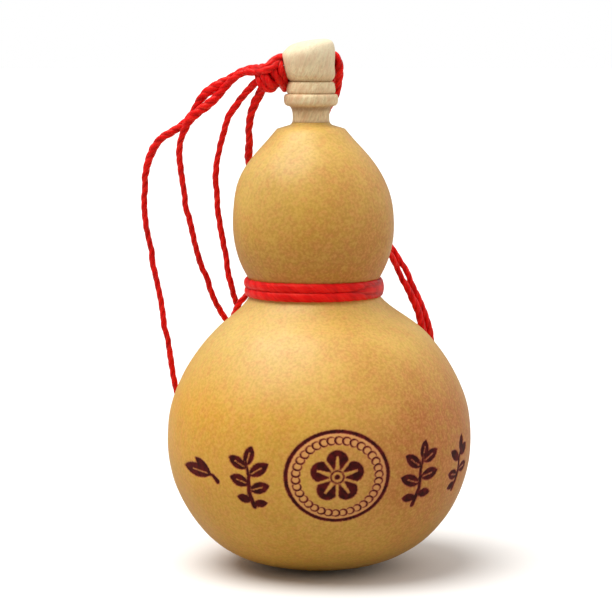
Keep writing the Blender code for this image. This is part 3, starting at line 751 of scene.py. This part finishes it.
def blossom(place):
    """Distance from a five-petalled blossom: rounded petals with a pale slit, round a small eye."""
    petals = np.full(place.shape[:-1], FAR)
    pale = petals.copy()
    for number in range(PETALS):
        x, y = petal_axes(place, 90 + 72 * number)
        petals = np.minimum(petals, np.hypot(x - PETAL_OUT, y) - PETAL_RADIUS)
        tapered = SLIT_HALF_WIDTH * (1 - (x - SLIT_WIDTH_AT) / SLIT_TAPER)
        slit = np.maximum(np.abs(y) - tapered, np.abs(x - SLIT_OUT) - SLIT_HALF_LENGTH)
        gap_x, gap_y = petal_axes(place, 90 + 36 + 72 * number)
        gap = np.maximum(np.abs(gap_y) - GAP_HALF_WIDTH, GAP_START - gap_x)
        pale = np.minimum.reduce([pale, slit, gap])
    reach = np.linalg.norm(place, axis=-1)
    eye = np.minimum(reach - EYE_RADIUS, np.abs(reach - EYE_RING) - EYE_RING_HALF_WIDTH)
    return np.minimum(np.maximum.reduce([petals, -pale, CLEAR_RADIUS - reach]), eye)


# %% Sprigs beside the medallion
SPRIGS = {  # the stem's points, and the leaves: base, tip, half width
    "left": ([(-13.9, -9.3), (-14.7, -6.2), (-14.5, -3.0), (-15.1, 0.2)], [
        ((-15.0, -1.0), (-13.7, 3.0), 1.15),
        ((-14.8, -1.5), (-18.9, 0.6), 1.2),
        ((-14.5, -2.9), (-10.2, -0.3), 1.25),
        ((-14.5, -4.6), (-18.8, -3.4), 1.25),
        ((-14.5, -5.9), (-10.1, -4.6), 1.2),
        ((-14.3, -8.0), (-17.6, -7.4), 0.95),
        ((-14.0, -8.7), (-10.8, -8.3), 0.85),
    ]),
    "right": ([(20.5, -9.5), (21.5, -6.0), (21.4, -2.6), (22.1, 0.6)], [
        ((21.9, -0.6), (22.9, 3.4), 1.1),
        ((22.0, -0.9), (26.1, 1.3), 1.15),
        ((21.6, -1.9), (17.6, 0.8), 1.2),
        ((21.5, -3.9), (26.3, -2.9), 1.25),
        ((21.5, -5.1), (16.6, -3.5), 1.25),
        ((21.2, -7.2), (24.8, -7.2), 0.95),
        ((20.9, -7.9), (17.4, -7.9), 0.95),
    ]),
    "far_right": ([(33.6, -8.0), (34.6, -5.0), (34.6, -2.2), (35.2, 0.4)], [
        ((35.0, -0.6), (36.2, 2.9), 1.0),
        ((35.0, -1.1), (38.9, 0.7), 1.05),
        ((34.7, -2.1), (30.9, 0.0), 1.05),
        ((34.6, -4.1), (39.1, -3.4), 1.1),
        ((34.5, -5.2), (30.4, -4.5), 1.1),
        ((34.1, -6.8), (31.1, -7.6), 0.85),
    ]),
    "fallen": ([(-22.0, -4.8), (-23.0, -3.8), (-24.4, -3.3)], [
        ((-23.2, -3.5), (-32.2, -2.7), 1.4),
        ((-23.6, -3.2), (-28.2, -0.6), 0.95),
    ]),
}
BLOSSOM_SHIFT = (-0.1, 0.2)
BLOSSOM_SHAPE = (1.0, 0.97)


def burnt_forms(place):
    """Distance from the blossom and the sprigs; the medallion's rings are left to the material."""
    forms = [blossom((place - MEDALLION - BLOSSOM_SHIFT) / BLOSSOM_SHAPE)]
    return np.minimum.reduce(forms + [sprig(place, *each) for each in SPRIGS.values()])


# %% [markdown]
# ### The skin with its burns
# Each point of the net knows how far round and how far up the skin it is. That place goes into the UV map, ten
# centimetres to a unit, so the material can draw the medallion's fine rings exactly. The distance from the bigger
# burns is noted on the points, and also sinks them a tenth of a millimetre into the rind.

# %% Build the gourd
RING_MIDDLE = 10.24
RING_HALF_WIDTH = 0.41
BURN_DEPTH = 0.10
BURN_SLOPE = 0.12  # the burn's wall reaches this far to both sides of its edge
UNEVEN = 0.16
LUMP, SMALL_LUMP = 13, 5  # widths
FOOT_EVEN, RIM_EVEN = (0.0, 3.0), (86.0, 88.5)  # heights where the lumps begin above the foot and end at the rim
UV_UNIT = 100
UNBURNT = 50.0  # distance from a burn that is noted on the cut end
OFF_MAP = (90.0, -60.0)  # place of the fans' middles, far from the pattern
RIM = [
    (5.9, 88.8), (5.0, 89.05), (RIM_RADIUS, 89.25), (3.95, 89.5), (3.78, RIM_HEIGHT), (SOCKET_RADIUS, RIM_HEIGHT),
    (SOCKET_RADIUS, RIM_HEIGHT - SOCKET_DEPTH),
]

place = np.stack(np.meshgrid(round_skin, up_skin), axis=-1)
burn = burnt_forms(place)
from_medallion = (place - MEDALLION) * (1, MEDALLION_HALF[0] / MEDALLION_HALF[1])
ring = np.abs(np.linalg.norm(from_medallion, axis=-1) - RING_MIDDLE) - RING_HALF_WIDTH
sunk = BURN_DEPTH * (1 - ease(np.minimum(burn, ring), -BURN_SLOPE, BURN_SLOPE))
radius = np.interp(up_skin + widest, profile_length, profile[:, 0])[:, None]
height = np.interp(up_skin + widest, profile_length, profile[:, 1])[:, None]
out_of = np.gradient(height, up_skin, axis=0)
up_of = -np.gradient(radius, up_skin, axis=0)
angle = round_skin / WIDEST_RADIUS - math.pi / 2
bare = gourd_point(radius, angle[None, :], height)
lumps = [noise.noise(Vector(point) / LUMP) + 0.4 * noise.noise(Vector(point) / SMALL_LUMP)
         for point in bare.reshape(-1, 3)]
fade = ease(height, *FOOT_EVEN) * (1 - ease(height, *RIM_EVEN))
push = fade * (UNEVEN * np.array(lumps).reshape(burn.shape) - sunk)
skin_rows = list(gourd_point(radius + push * out_of, angle[None, :], height + push * up_of))
skin_rows += [gourd_point(rim_radius, angle, rim_height) for rim_radius, rim_height in RIM]
skin_rows = np.array(skin_rows)
mesh = skin_mesh("gourd_shell", skin_rows)

rows_used, columns = skin_rows.shape[:2]
burn = np.vstack([burn, np.full((len(RIM), columns), UNBURNT)])
note_on_points(mesh, "burn", "FLOAT", np.append(burn, (UNBURNT, UNBURNT)))
up_all = np.concatenate([up_skin, up_skin[-1] + 1.0 + np.arange(len(RIM))])
corner = np.empty(len(mesh.loops), int)
mesh.loops.foreach_get("vertex_index", corner)
on_rows = corner < rows_used * columns
u = np.where(on_rows, round_skin[corner % columns], OFF_MAP[0])
v = np.where(on_rows, up_all[np.minimum(corner // columns, rows_used - 1)], OFF_MAP[1])
last_quads = np.arange(1, rows_used) * columns - 1  # they close the round, so their far corners are half a round on
u[(last_quads[:, None] * 4 + (1, 2)).ravel()] = half_round
uv = mesh.uv_layers.new(name="skin_place")
uv.uv.foreach_set("vector", (np.stack([u, v], axis=-1) / UV_UNIT).astype(np.float32).ravel())
print(f"gourd: widest {2 * radius.max():.1f} mm")

# %% [markdown]
# ### Dried and hand-polished gourd rind
# A dried gourd's rind is a woody shell, scraped clean and rubbed with the palm until it shines softly. The eye sees
# honey-tan, with cloudy patches from the drying some 10 to 30 mm wide, faint veins that run from stem to foot, and
# specks under a millimetre. The sunny side is yellower. Painted light makes the tops of both bulbs paler, most on
# the left, and painted shade makes the right side redder and browner and darkens the skin just over the cord,
# under the upper bulb. A waxed woody skin has an IOR near 1.5 and a middling roughness.

# %% Rind: its patterns
PATTERNS = {  # size in millimetres, detail, roughness, distortion
    "clouds": (26.0, 3.0, 0.5, 0.0),
    "patches": (8.0, 5.0, 0.5, 0.6),
    "tints": (1.6, 2.5, 0.6, 0.0),
    "specks": (0.55, 1.0, 0.6, 0.0),
    "pressure": (1.3, 3.0, 0.5, 0.0),
    "burn_edge": (0.45, 2.0, 0.5, 0.0),
}
VEINS = (900, 900, 45)  # veins in a metre, across and along
CLOUDY = 0.026  # how far, in metres, the clouds shift the edges of the browned belt

rind, tree, shader = finish_material("dried_polished_gourd_rind")
spot = add(tree, "TexCoord").outputs["Object"]
clouds, patches, tints, specks, pressure, burn_edge = (
    add(tree, "TexNoise", {"Vector": spot, "Scale": 1 / (size * MM), "Detail": detail, "Roughness": roughness,
                           "Distortion": distortion})
    for size, detail, roughness, distortion in PATTERNS.values()
)
vein_grid = add(tree, "VectorMath MULTIPLY", (spot, VEINS))
veins = add(tree, "TexNoise", {"Vector": vein_grid, "Scale": 1.0, "Detail": 2.0})
place_on = add(tree, "SeparateXYZ", (spot,)).outputs
cloudy_height = add(tree, "Math MULTIPLY_ADD", (clouds, CLOUDY, place_on["Z"]))

# %% Rind: its zones
ZONES = {  # measured by, none at and full at (metres), least, most
    "left": (place_on["X"], 0.004, -0.028, 0.0, 0.8),
    "under_shoulder": (place_on["Z"], 0.050, 0.036, 0.0, 1.0),
    "right": (place_on["X"], -0.004, 0.016, 0.0, 1.0),
    "low": (cloudy_height, 0.060, 0.045, 0.0, 0.8),
    "off_foot": (cloudy_height, 0.012, 0.034, 0.0, 1.0),
    "front_more": (place_on["Y"], 0.024, -0.008, 0.45, 1.0),
    "upper_bulb": (place_on["Z"], 0.0562, 0.0568, 0.0, 1.0),
    "upper_belt": (place_on["Z"], 0.0562, 0.0568, 0.0, 0.48),
    "over_cord": (place_on["Z"], 0.074, 0.060, 0.0, 0.5),
    "lower_top": (place_on["Z"], 0.034, 0.048, 0.0, 1.0),
    "upper_top": (place_on["Z"], 0.068, 0.082, 0.0, 1.0),
    "left_more": (place_on["X"], 0.002, -0.012, 0.10, 0.34),
}
COMBINED = [  # a zone made of two others
    ("sunny", "MULTIPLY", "left", "under_shoulder"),
    # painted shade on the right side, most on the lower bulb
    ("painted_shade_right_side", "MULTIPLY", "low", "off_foot"),
    ("painted_shade_right_side", "MULTIPLY", "painted_shade_right_side", "front_more"),
    ("painted_shade_right_side", "MAXIMUM", "painted_shade_right_side", "upper_belt"),
    ("painted_shade_right_side", "MULTIPLY", "painted_shade_right_side", "right"),
    # painted shade on the upper bulb's underside, just over the cord
    ("painted_shade_over_cord", "MULTIPLY", "over_cord", "upper_bulb"),
    # painted light on the tops of both bulbs, most on the left
    ("painted_light_on_tops", "SUBTRACT", "lower_top", "upper_bulb"),
    ("painted_light_on_tops", "MAXIMUM", "painted_light_on_tops", "upper_top"),
    ("painted_light_on_tops", "MULTIPLY", "painted_light_on_tops", "left_more"),
]
zone = {}
for name, (along, none_at, full_at, least, most) in ZONES.items():
    zone[name] = add(tree, "MapRange", {"Value": along, "From Min": none_at, "From Max": full_at,
                                        "To Min": least, "To Max": most})
for name, operation, first, second in COMBINED:
    zone[name] = add(tree, "Math " + operation, (zone[first], zone[second]))

# %% Rind: its colours
skin = painted(
    tree, colour("#D29D3A"),
    (clouds, 0.34, 0.66, 1.0, "#E4BA56"),
    (patches, 0.42, 0.72, 0.38, "#C08B3A"),
    (zone["sunny"], "#DC9E2C"),
    # painted shade: redder and browner on the right side, most on the lower bulb
    (zone["painted_shade_right_side"], "#B25C20"),
    # painted shade: darker on the upper bulb's underside, just over the cord
    (zone["painted_shade_over_cord"], "#A04E1C"),
    # painted light: paler on the tops of both bulbs, most on the left
    (zone["painted_light_on_tops"], "#CBBE8B"),
    (veins, 0.55, 0.75, 0.16, "#B47C36"),
    (tints, 0.48, 0.66, 0.30, "#CFAA40"),  # greener here and there
    (tints, 0.52, 0.34, 0.30, "#DC8C4E"),  # pinker in between
)
dark = add(tree, "MapRange", {"Value": specks, "From Min": 0.46, "From Max": 0.68, "To Max": 0.24})
skin = add(tree, "Mix", {"Factor": dark, "A": skin, "B": colour("#CFC6AE")}, data_type="RGBA", blend_type="MULTIPLY")
skin = painted(tree, skin, (specks, 0.54, 0.32, 0.18, "#F2C870"))
print("rind, before its burns:", len(tree.nodes), "nodes")

# %% [markdown]
# ### The medallion's rings and chain
# The rings are measured from the medallion's middle, after its height is stretched to match its width. The chain
# is drawn once in a cell and repeated round the circle. A link is a crescent: the part of a disc that a second,
# shifted disc leaves uncovered. Each link lies on the tips of the next, so the cells close.

# %% Rind: the medallion
LINKS = 34
LINK_CIRCLE = 8.27
LINK_RADIUS = 0.95
LINK_HOLE = 0.69
LINK_SHIFT = 0.18
BAND_OUT = 0.5  # the middle of the toasted band, outside the links' circle
pitch = math.tau * LINK_CIRCLE / LINKS

uv_place = add(tree, "UVMap", uv_map="skin_place")
oblong = MEDALLION_HALF[0] / MEDALLION_HALF[1]
stretch = (UV_UNIT, UV_UNIT * oblong, 0)
middle = (-MEDALLION[0], -MEDALLION[1] * oblong, 0)
centred = add(tree, "VectorMath MULTIPLY_ADD", (uv_place, stretch, middle))
axes = add(tree, "SeparateXYZ", (centred,)).outputs
out = add(tree, "VectorMath LENGTH", (centred,))
turned = add(tree, "Math ARCTAN2", (axes["Y"], axes["X"]))
cell = add(tree, "Math MULTIPLY", (turned, LINKS / math.tau))
cell = add(tree, "Math FRACT", (cell,))
cell = add(tree, "Math MULTIPLY_ADD", (cell, -pitch, pitch - LINK_RADIUS))
from_circle = add(tree, "Math SUBTRACT", (out, LINK_CIRCLE))


def chain_link(centre):
    """How far a point is from the edge of a link's disc, and from its burnt crescent. `centre` is in the cell."""
    x = add(tree, "Math SUBTRACT", (cell, centre))
    from_disc = add(tree, "CombineXYZ", (x, from_circle))
    from_hole = add(tree, "VectorMath SUBTRACT", (from_disc, (LINK_SHIFT, 0, 0)))
    from_disc = add(tree, "VectorMath LENGTH", (from_disc,))
    from_hole = add(tree, "VectorMath LENGTH", (from_hole,))
    disc = add(tree, "Math SUBTRACT", (from_disc, LINK_RADIUS))
    hole = add(tree, "Math SUBTRACT", (LINK_HOLE, from_hole))
    return disc, add(tree, "Math MAXIMUM", (disc, hole))


own_disc, own_crescent = chain_link(0.0)
_, next_crescent = chain_link(-pitch)
uncovered = add(tree, "Math MULTIPLY", (own_disc, -1.0))
next_tips = add(tree, "Math MAXIMUM", (next_crescent, uncovered))
marks = add(tree, "Math MINIMUM", (own_crescent, next_tips))
off_ring = add(tree, "Math SUBTRACT", (out, RING_MIDDLE))
off_ring = add(tree, "Math ABSOLUTE", (off_ring,))
off_ring = add(tree, "Math SUBTRACT", (off_ring, RING_HALF_WIDTH))
marks = add(tree, "Math MINIMUM", (marks, off_ring))
off_band = add(tree, "Math SUBTRACT", (from_circle, BAND_OUT))
off_band = add(tree, "Math ABSOLUTE", (off_band,))
skin = painted(tree, skin, (off_band, 1.6, 1.2, 0.48, "#E8A06C"))
noted = add(tree, "Attribute", attribute_name="burn").outputs["Fac"]
marks = add(tree, "Math MINIMUM", (marks, noted))
print(f"medallion: {LINKS} links, one every {pitch:.2f} mm")

# %% [markdown]
# ### The burn itself
# A hot tip chars the rind dark brown and leaves a reddish scorch at the edge, and its pressure varies, so parts of
# a stroke stay redder. The edge wanders by a few hundredths of a millimetre.

# %% Rind: char and scorch
WANDER = 0.14

wander = add(tree, "MapRange", {"Value": burn_edge, "To Min": -WANDER, "To Max": WANDER})
from_burn = add(tree, "Math ADD", (marks, wander))
char = add(tree, "MapRange", {"Value": from_burn, "From Min": 0.05, "From Max": -0.16})
charred = painted(tree, colour("#360303"), (pressure, 0.40, 0.68, 1.0, "#620D10"))
skin = painted(tree, skin, (from_burn, 0.22, -0.02, 0.75, "#9C3A28"))
skin = add(tree, "Mix", {"Factor": char, "A": skin, "B": charred}, data_type="RGBA")

# %% [markdown]
# ### The foot
# Where the blossom once sat, a dried gourd keeps a small dark button of cork. It only shows when the gourd is
# turned over.

# %% Rind: foot, gloss and relief
BUTTON_EDGE = 0.004  # how far, in metres, the patches shift the button's edge

from_foot = add(tree, "VectorMath LENGTH", (spot,))
button = add(tree, "Math MULTIPLY_ADD", (patches, BUTTON_EDGE, from_foot))
skin = painted(tree, skin, (button, 0.0060, 0.0040, 0.8, "#6B4423"))
worn = add(tree, "MapRange", {"Value": patches, "From Min": 0.3, "From Max": 0.7, "To Min": 0.40, "To Max": 0.52})
dull = add(tree, "Mix", {"Factor": char, "A": worn, "B": 0.72})
mirror = add(tree, "Mix", {"Factor": char, "A": 0.36, "B": 0.12})  # char is all pores
grain = add(tree, "Mix", {"Factor": 0.35, "A": specks, "B": veins})
relief = add(tree, "Bump", {"Height": grain, "Strength": 0.22, "Distance": 0.05 * MM})
sunk_lines = add(tree, "Bump", {"Height": char, "Strength": 0.5, "Distance": 0.05 * MM, "Normal": relief}, invert=True)
fill(tree, shader, {
    "Base Color": skin, "Roughness": dull, "Specular IOR Level": mirror, "Normal": sunk_lines, "IOR": 1.5,
    "Coat Weight": 0.10, "Coat Roughness": 0.38,
})
put(mesh, rind, "gourd")

# %% [markdown]
# ## The turned mouth and stopper
# Both are turned from a pale, fine-grained hardwood such as beech, without varnish. Turning an outline is how they
# were made, so it is also how they are made here: the CAD outline again, in much finer steps. Each point also
# notes how dark it is: darker at the joins, round the cord's hole and in the groove over the flange, with a band
# of painted shade on the neck just under the flange.

# %% Beech, turned and left bare
GRAIN_TILT = math.radians(-24)
FIGURE = {  # size in millimetres across and along the grain, detail, roughness
    "streaks": (0.55, 6.0, 4.0, 0.55),
    "mottle": (0.5, 1.6, 2.0, 0.5),
    "pores": (1 / 7, 1 / 1.1, 1.0, 0.5),
}
BLOTCH = 3.2

beech, tree, shader = finish_material("turned_bare_beech")
spot = add(tree, "TexCoord").outputs["Object"]
tilted = add(tree, "Mapping", {"Vector": spot, "Rotation": (0.0, GRAIN_TILT, 0.0)})
figure = []
for across, along, detail, roughness in FIGURE.values():
    grid = add(tree, "VectorMath MULTIPLY", (tilted, [1 / (size * MM) for size in (across, across, along)]))
    figure.append(add(tree, "TexNoise", {"Vector": grid, "Scale": 1.0, "Detail": detail, "Roughness": roughness}))
streaks, mottle, pores = figure
blotches = add(tree, "TexNoise", {"Vector": spot, "Scale": 1 / (BLOTCH * MM), "Detail": 3.0})
height_up = add(tree, "SeparateXYZ", (spot,)).outputs["Z"]
stain_and_shade = add(tree, "Attribute", attribute_name="stain_and_shade").outputs["Fac"]
stain_and_shade_share = add(tree, "Math ADD", (streaks, 1.0))
stain_and_shade_share = add(tree, "Math MULTIPLY", (stain_and_shade_share, stain_and_shade), use_clamp=True)
wood = painted(
    tree, colour("#FBEABE"),
    (streaks, 0.35, 0.68, 1.0, "#E8CA9C"),
    (blotches, 0.45, 0.72, 0.55, "#D9A880"),
    (mottle, 0.50, 0.66, 0.42, "#D8A278"),  # rosy
    (mottle, 0.50, 0.34, 0.36, "#B89E70"),  # greyer in between
    (height_up, 0.099, 0.106, 0.6, "#FFF4D6"),  # painted light: paler towards the top of the knob
    (pores, 0.62, 0.72, 0.25, "#A97C50"),
    # darker at the joins, round the hole and in the groove, with painted shade under the flange
    (stain_and_shade_share, "#7A4A26"),
)
relief = add(tree, "Bump", {"Height": streaks, "Strength": 0.22, "Distance": 0.06 * MM})
relief = add(tree, "Bump", {"Height": pores, "Strength": 0.3, "Distance": 0.04 * MM, "Normal": relief})
fill(tree, shader, {"Base Color": wood, "Normal": relief, "Roughness": 0.58, "IOR": 1.5})
print("beech:", len(tree.nodes), "nodes")

# %% Turning helpers
WOOD_SIDES = 120
WOOD_STEP = 0.14


def turned_rows(outline, place, middle):
    """Rows of points from an outline of (radius, height), placed at `middle`."""
    angle = np.linspace(0, math.tau, WOOD_SIDES, endpoint=False)
    outline = np.array(outline)
    points = place(outline[:, :1], angle[None, :], outline[:, 1:])
    return points + np.array(middle)


def plain_round(radius, angle, height):
    return np.stack([radius * np.cos(angle), radius * np.sin(angle), height + 0 * angle], axis=-1)


def curved(points):
    """A smooth line through the points, in short steps."""
    return [tuple(point) for point in smooth_line(points, WOOD_STEP)]


def straight(points, step=WOOD_STEP):
    """Straight lines through the points, in short steps, so that edges stay where they are."""
    result = [points[0]]
    for start, end in zip(points, points[1:]):
        steps = max(round(math.dist(start, end) / step), 1)
        result += [tuple(np.array(start) + (np.array(end) - start) * i / steps) for i in range(1, steps + 1)]
    return result


def smudge(level, middle, reach, strength):
    """A soft ring of darkening at one height."""
    return strength * np.exp(-(((level - middle) / reach) ** 2))


# %% The mouthpiece
GAP = 0.3  # between two pieces of the CAD model
MOUTH_X = WAIST_LEAN + NECK_LEAN
MOUTH_FOOT = RIM_HEIGHT + GAP
GLUE = -0.3  # the neck stands on the rim, where the CAD model leaves a gap
BORE_RADIUS = 2.3
SPIGOT_RADIUS = SOCKET_RADIUS - GAP
SPIGOT_END = -7.0
MOUTH_HEIGHT = 7.75
BEVEL = 0.15
NECK = [(3.74, GLUE), (3.66, 0.7), (3.72, 1.6), (3.92, 2.3), (4.15, 2.75)]
FLANGE = [(4.35, 2.86), (4.95, 3.05), (5.32, 3.5), (5.42, 4.2), (5.38, 4.8), (5.15, 5.2), (4.75, 5.34)]
LIP = [(4.62, 5.38), (4.80, 5.55), (4.88, 5.9), (4.85, 6.4), (4.68, 7.3), (4.45, 7.68), (4.3, MOUTH_HEIGHT)]
BORE = [(4.3, MOUTH_HEIGHT), (BORE_RADIUS + BEVEL, MOUTH_HEIGHT), (BORE_RADIUS, MOUTH_HEIGHT - BEVEL),
        (BORE_RADIUS, -6.6)]
RIDGE, RIDGE_SPACING = 0.008, 0.42  # left by the turning tool
TURNED_OUTSIDE = 3.7  # what has a bigger radius has ridges
GROOVE_RADIUS = 4.8

outline = straight([(BORE_RADIUS, SPIGOT_END), (SPIGOT_RADIUS, SPIGOT_END), (SPIGOT_RADIUS, GLUE), NECK[0]], 0.5)
outline += curved(NECK)[1:] + curved(FLANGE) + straight(LIP) + straight(BORE, 0.6)[1:]
outline = np.array(outline)
level = outline[:, 1]
outline[:, 0] += RIDGE * np.sin(level * math.tau / RIDGE_SPACING) * (outline[:, 0] > TURNED_OUTSIDE)
mesh = skin_mesh("turned_mouthpiece", turned_rows(outline, plain_round, (MOUTH_X, 0, MOUTH_FOOT)), ring=True)
# the ring at 2.5 mm, just under the flange, is painted shade; the other two darken the joins
seams_and_flange_shade = smudge(level, GLUE, 0.35, 0.22) + smudge(level, 2.5, 0.65, 0.42) + smudge(level, MOUTH_HEIGHT, 0.2, 0.06)
round_it = np.linspace(0, math.tau, WOOD_SIDES, endpoint=False) * GROOVE_RADIUS
uneven = 0.5 + 0.5 * slow_waves(round_it, 90, GROOVE_RADIUS * math.pi)
note_on_points(mesh, "stain_and_shade", "FLOAT", seams_and_flange_shade[:, None] + smudge(level, 5.42, 0.15, 0.5)[:, None] * uneven)
put(mesh, beech, "mouthpiece")

# %% [markdown]
# ### The stopper
# The knob was turned round, then its top was dressed a little aslant with a knife, and the hole for the cord was
# drilled by hand. A Boolean cuts the hole. A voxel remesh afterwards rounds the hole's edge and every other edge
# a little, as handling does.

# %% The stopper
SEAT_HEIGHT = MOUTH_FOOT + MOUTH_HEIGHT + GAP
SEATED = 0.29  # the knob's foot comes down to the lip, where the CAD model leaves a gap
PLUG_LENGTH = 14.0
PLUG_RADIUS = BORE_RADIUS - GAP
PLUG = [(1.7, -PLUG_LENGTH), (PLUG_RADIUS, -SEATED), (3.95, -SEATED), (4.2, -0.15)]
KNOB = [(4.3, 0.0), (4.85, 0.65), (5.2, 2.4), (5.35, 4.2), (5.1, 6.2), (4.2, 7.5), (2.4, 8.05), (0.05, 8.15)]
KNOB_LEAN = -0.04
KNOB_BELLY = -0.45  # how far its middle bulges to the left
BELLY_HEIGHT = 7
TOP_SLOPE = 0.16
TOP_SLOPE_HIGH_SIDE = 1.5
TOP_CUT = (4.3, 7.8)  # the slope begins and is full at these heights
HOLE_LEFT = np.array((-7.3, -0.1, 101.3))
HOLE_RIGHT = np.array((2.4, 3.0, 102.2))
HOLE_RADIUS = 1.9
DRILL_REACH = (-0.35, 1.35)  # in hole lengths, so it goes past both sides of the knob
DRILL_ROWS, DRILL_SIDES = 12, 48
VOXEL = 0.17


def knob_point(radius, angle, height):
    """Leans the knob to the left and cuts its top aslant."""
    side = radius * np.cos(angle)
    slope = TOP_SLOPE * (side - TOP_SLOPE_HIGH_SIDE) * ease(height, *TOP_CUT)
    belly = KNOB_BELLY * np.sin(np.clip(height / BELLY_HEIGHT, 0, 1) * math.pi)
    lean = KNOB_LEAN * np.maximum(height, 0) + belly
    return np.stack([side + lean, radius * np.sin(angle), height + slope], axis=-1)


rows = turned_rows(straight(PLUG, 0.5) + curved(KNOB), knob_point, (MOUTH_X, 0, SEAT_HEIGHT))
blank = new_object("stopper_blank", skin_mesh("turned_stopper", rows))
through = HOLE_RIGHT - HOLE_LEFT
drill_line = HOLE_LEFT + np.outer(np.linspace(*DRILL_REACH, DRILL_ROWS), through)
first, second = (side[:, None, :] for side in frames_along(drill_line, False, None))
spoke = np.linspace(0, math.tau, DRILL_SIDES, endpoint=False)[None, :, None]
drill_rows = drill_line[:, None, :] + HOLE_RADIUS * (np.cos(spoke) * first + np.sin(spoke) * second)
drill = new_object("drill", skin_mesh("drill", drill_rows))
cut = blank.modifiers.new("drill", "BOOLEAN")
cut.operation = "DIFFERENCE"
cut.object = drill
worn_edges = blank.modifiers.new("worn_edges", "REMESH")
worn_edges.mode = "VOXEL"
worn_edges.voxel_size = VOXEL * MM
blank.modifiers.new("soften", "SMOOTH").iterations = 2
mesh = bpy.data.meshes.new_from_object(blank.evaluated_get(bpy.context.evaluated_depsgraph_get()))
for tool in (drill, blank):
    bpy.data.objects.remove(tool, do_unlink=True)
mesh.name = "turned_stopper"
mesh.shade_smooth()
places = np.empty(3 * len(mesh.vertices))
mesh.vertices.foreach_get("co", places)
places = places.reshape(-1, 3) / MM
off_axis = np.linalg.norm(np.cross(places - HOLE_LEFT, through / np.linalg.norm(through)), axis=1)
at_hole = 0.5 * (1 - ease(off_axis, HOLE_RADIUS - 0.05, HOLE_RADIUS + 0.5))
note_on_points(mesh, "stain_and_shade", "FLOAT", smudge(places[:, 2], SEAT_HEIGHT, 0.3, 0.2) + at_hole)
put(mesh, beech, "stopper")

# %% [markdown]
# ## Floor and light
# The photograph is a studio picture on white, lit softly from the upper left front. A sun lamp with a wide disc
# gives that soft light evenly over the whole floor. The sky is pale, brighter above than below, and plain white
# where the camera looks straight at it. The paper is white to the camera, but it returns less light to the gourd
# than white paper would, because the gourd's underside is dark in the photograph.

# %% Floor
FLOOR_HALF = 6.0  # metres

floor_paper, tree, shader = finish_material("matt_white_paper")
fibre = add(tree, "TexNoise", {"Scale": 400.0, "Detail": 2.0})
paper = painted(tree, colour("#F4F3F1"), (fibre, "#FAFAF9"))
seen = add(tree, "LightPath").outputs["Is Camera Ray"]
paper = add(tree, "Mix", {"Factor": seen, "A": colour("#B6B0A6"), "B": paper}, data_type="RGBA")
fill(tree, shader, {"Base Color": paper, "Roughness": 0.9})
corners = [(x * FLOOR_HALF, y * FLOOR_HALF, 0) for x, y in ((-1, -1), (1, -1), (1, 1), (-1, 1))]
floor_mesh = bpy.data.meshes.new("floor")
floor_mesh.from_pydata(corners, [], [(0, 1, 2, 3)])
floor_mesh.materials.append(floor_paper)
floor = new_object("floor", floor_mesh)

# %% Lights
SUN_FROM = (-0.34, -0.16, 0.92)
SUN_WIDTH = 50  # degrees: as wide as a big soft box

key = new_object("key", bpy.data.lights.new("key", "SUN"))
key.data.energy = 3.15
key.data.angle = math.radians(SUN_WIDTH)
key.data.color = (1.0, 0.985, 0.96)
key.rotation_euler = Vector(SUN_FROM).to_track_quat("Z", "Y").to_euler()

# %% Sky
# Each part of the sky is a colour, strongest in one direction: above, left, right, and right from behind.
SKY = {
    "above": ((0, 0, 1), (0.26, 0.26, 0.26, 1)),
    "left": ((-1, 0, 0), (0.30, 0.28, 0.26, 1)),
    "right": ((0.88, 0, 0.47), (0.52, 0.52, 0.52, 1)),
    "right_edge": ((0.90, 0.42, 0.12), (0.24, 0.235, 0.23, 1)),
}
world = bpy.data.worlds.new("studio")
world.use_nodes = True
bpy.context.scene.world = world
tree = world.node_tree
direction = add(tree, "TexCoord").outputs["Generated"]
sky = add(tree, "Mix", {"Factor": 1.0, "B": (0.10, 0.10, 0.10, 1)}, data_type="RGBA")
for towards, tint in SKY.values():
    facing = add(tree, "VectorMath DOT_PRODUCT", (direction, towards))
    facing = add(tree, "Math MAXIMUM", (facing, 0.0))
    sky = add(tree, "Mix", {"Factor": facing, "A": sky, "B": tint}, data_type="RGBA", blend_type="ADD")
to_camera = add(tree, "LightPath").outputs["Is Camera Ray"]
sky = add(tree, "Mix", {"Factor": to_camera, "A": sky, "B": (1, 1, 1, 1)}, data_type="RGBA")
fill(tree, tree.nodes["Background"], {"Color": sky})

view = bpy.context.scene.view_settings
view.view_transform = "Standard"
view.look = "None"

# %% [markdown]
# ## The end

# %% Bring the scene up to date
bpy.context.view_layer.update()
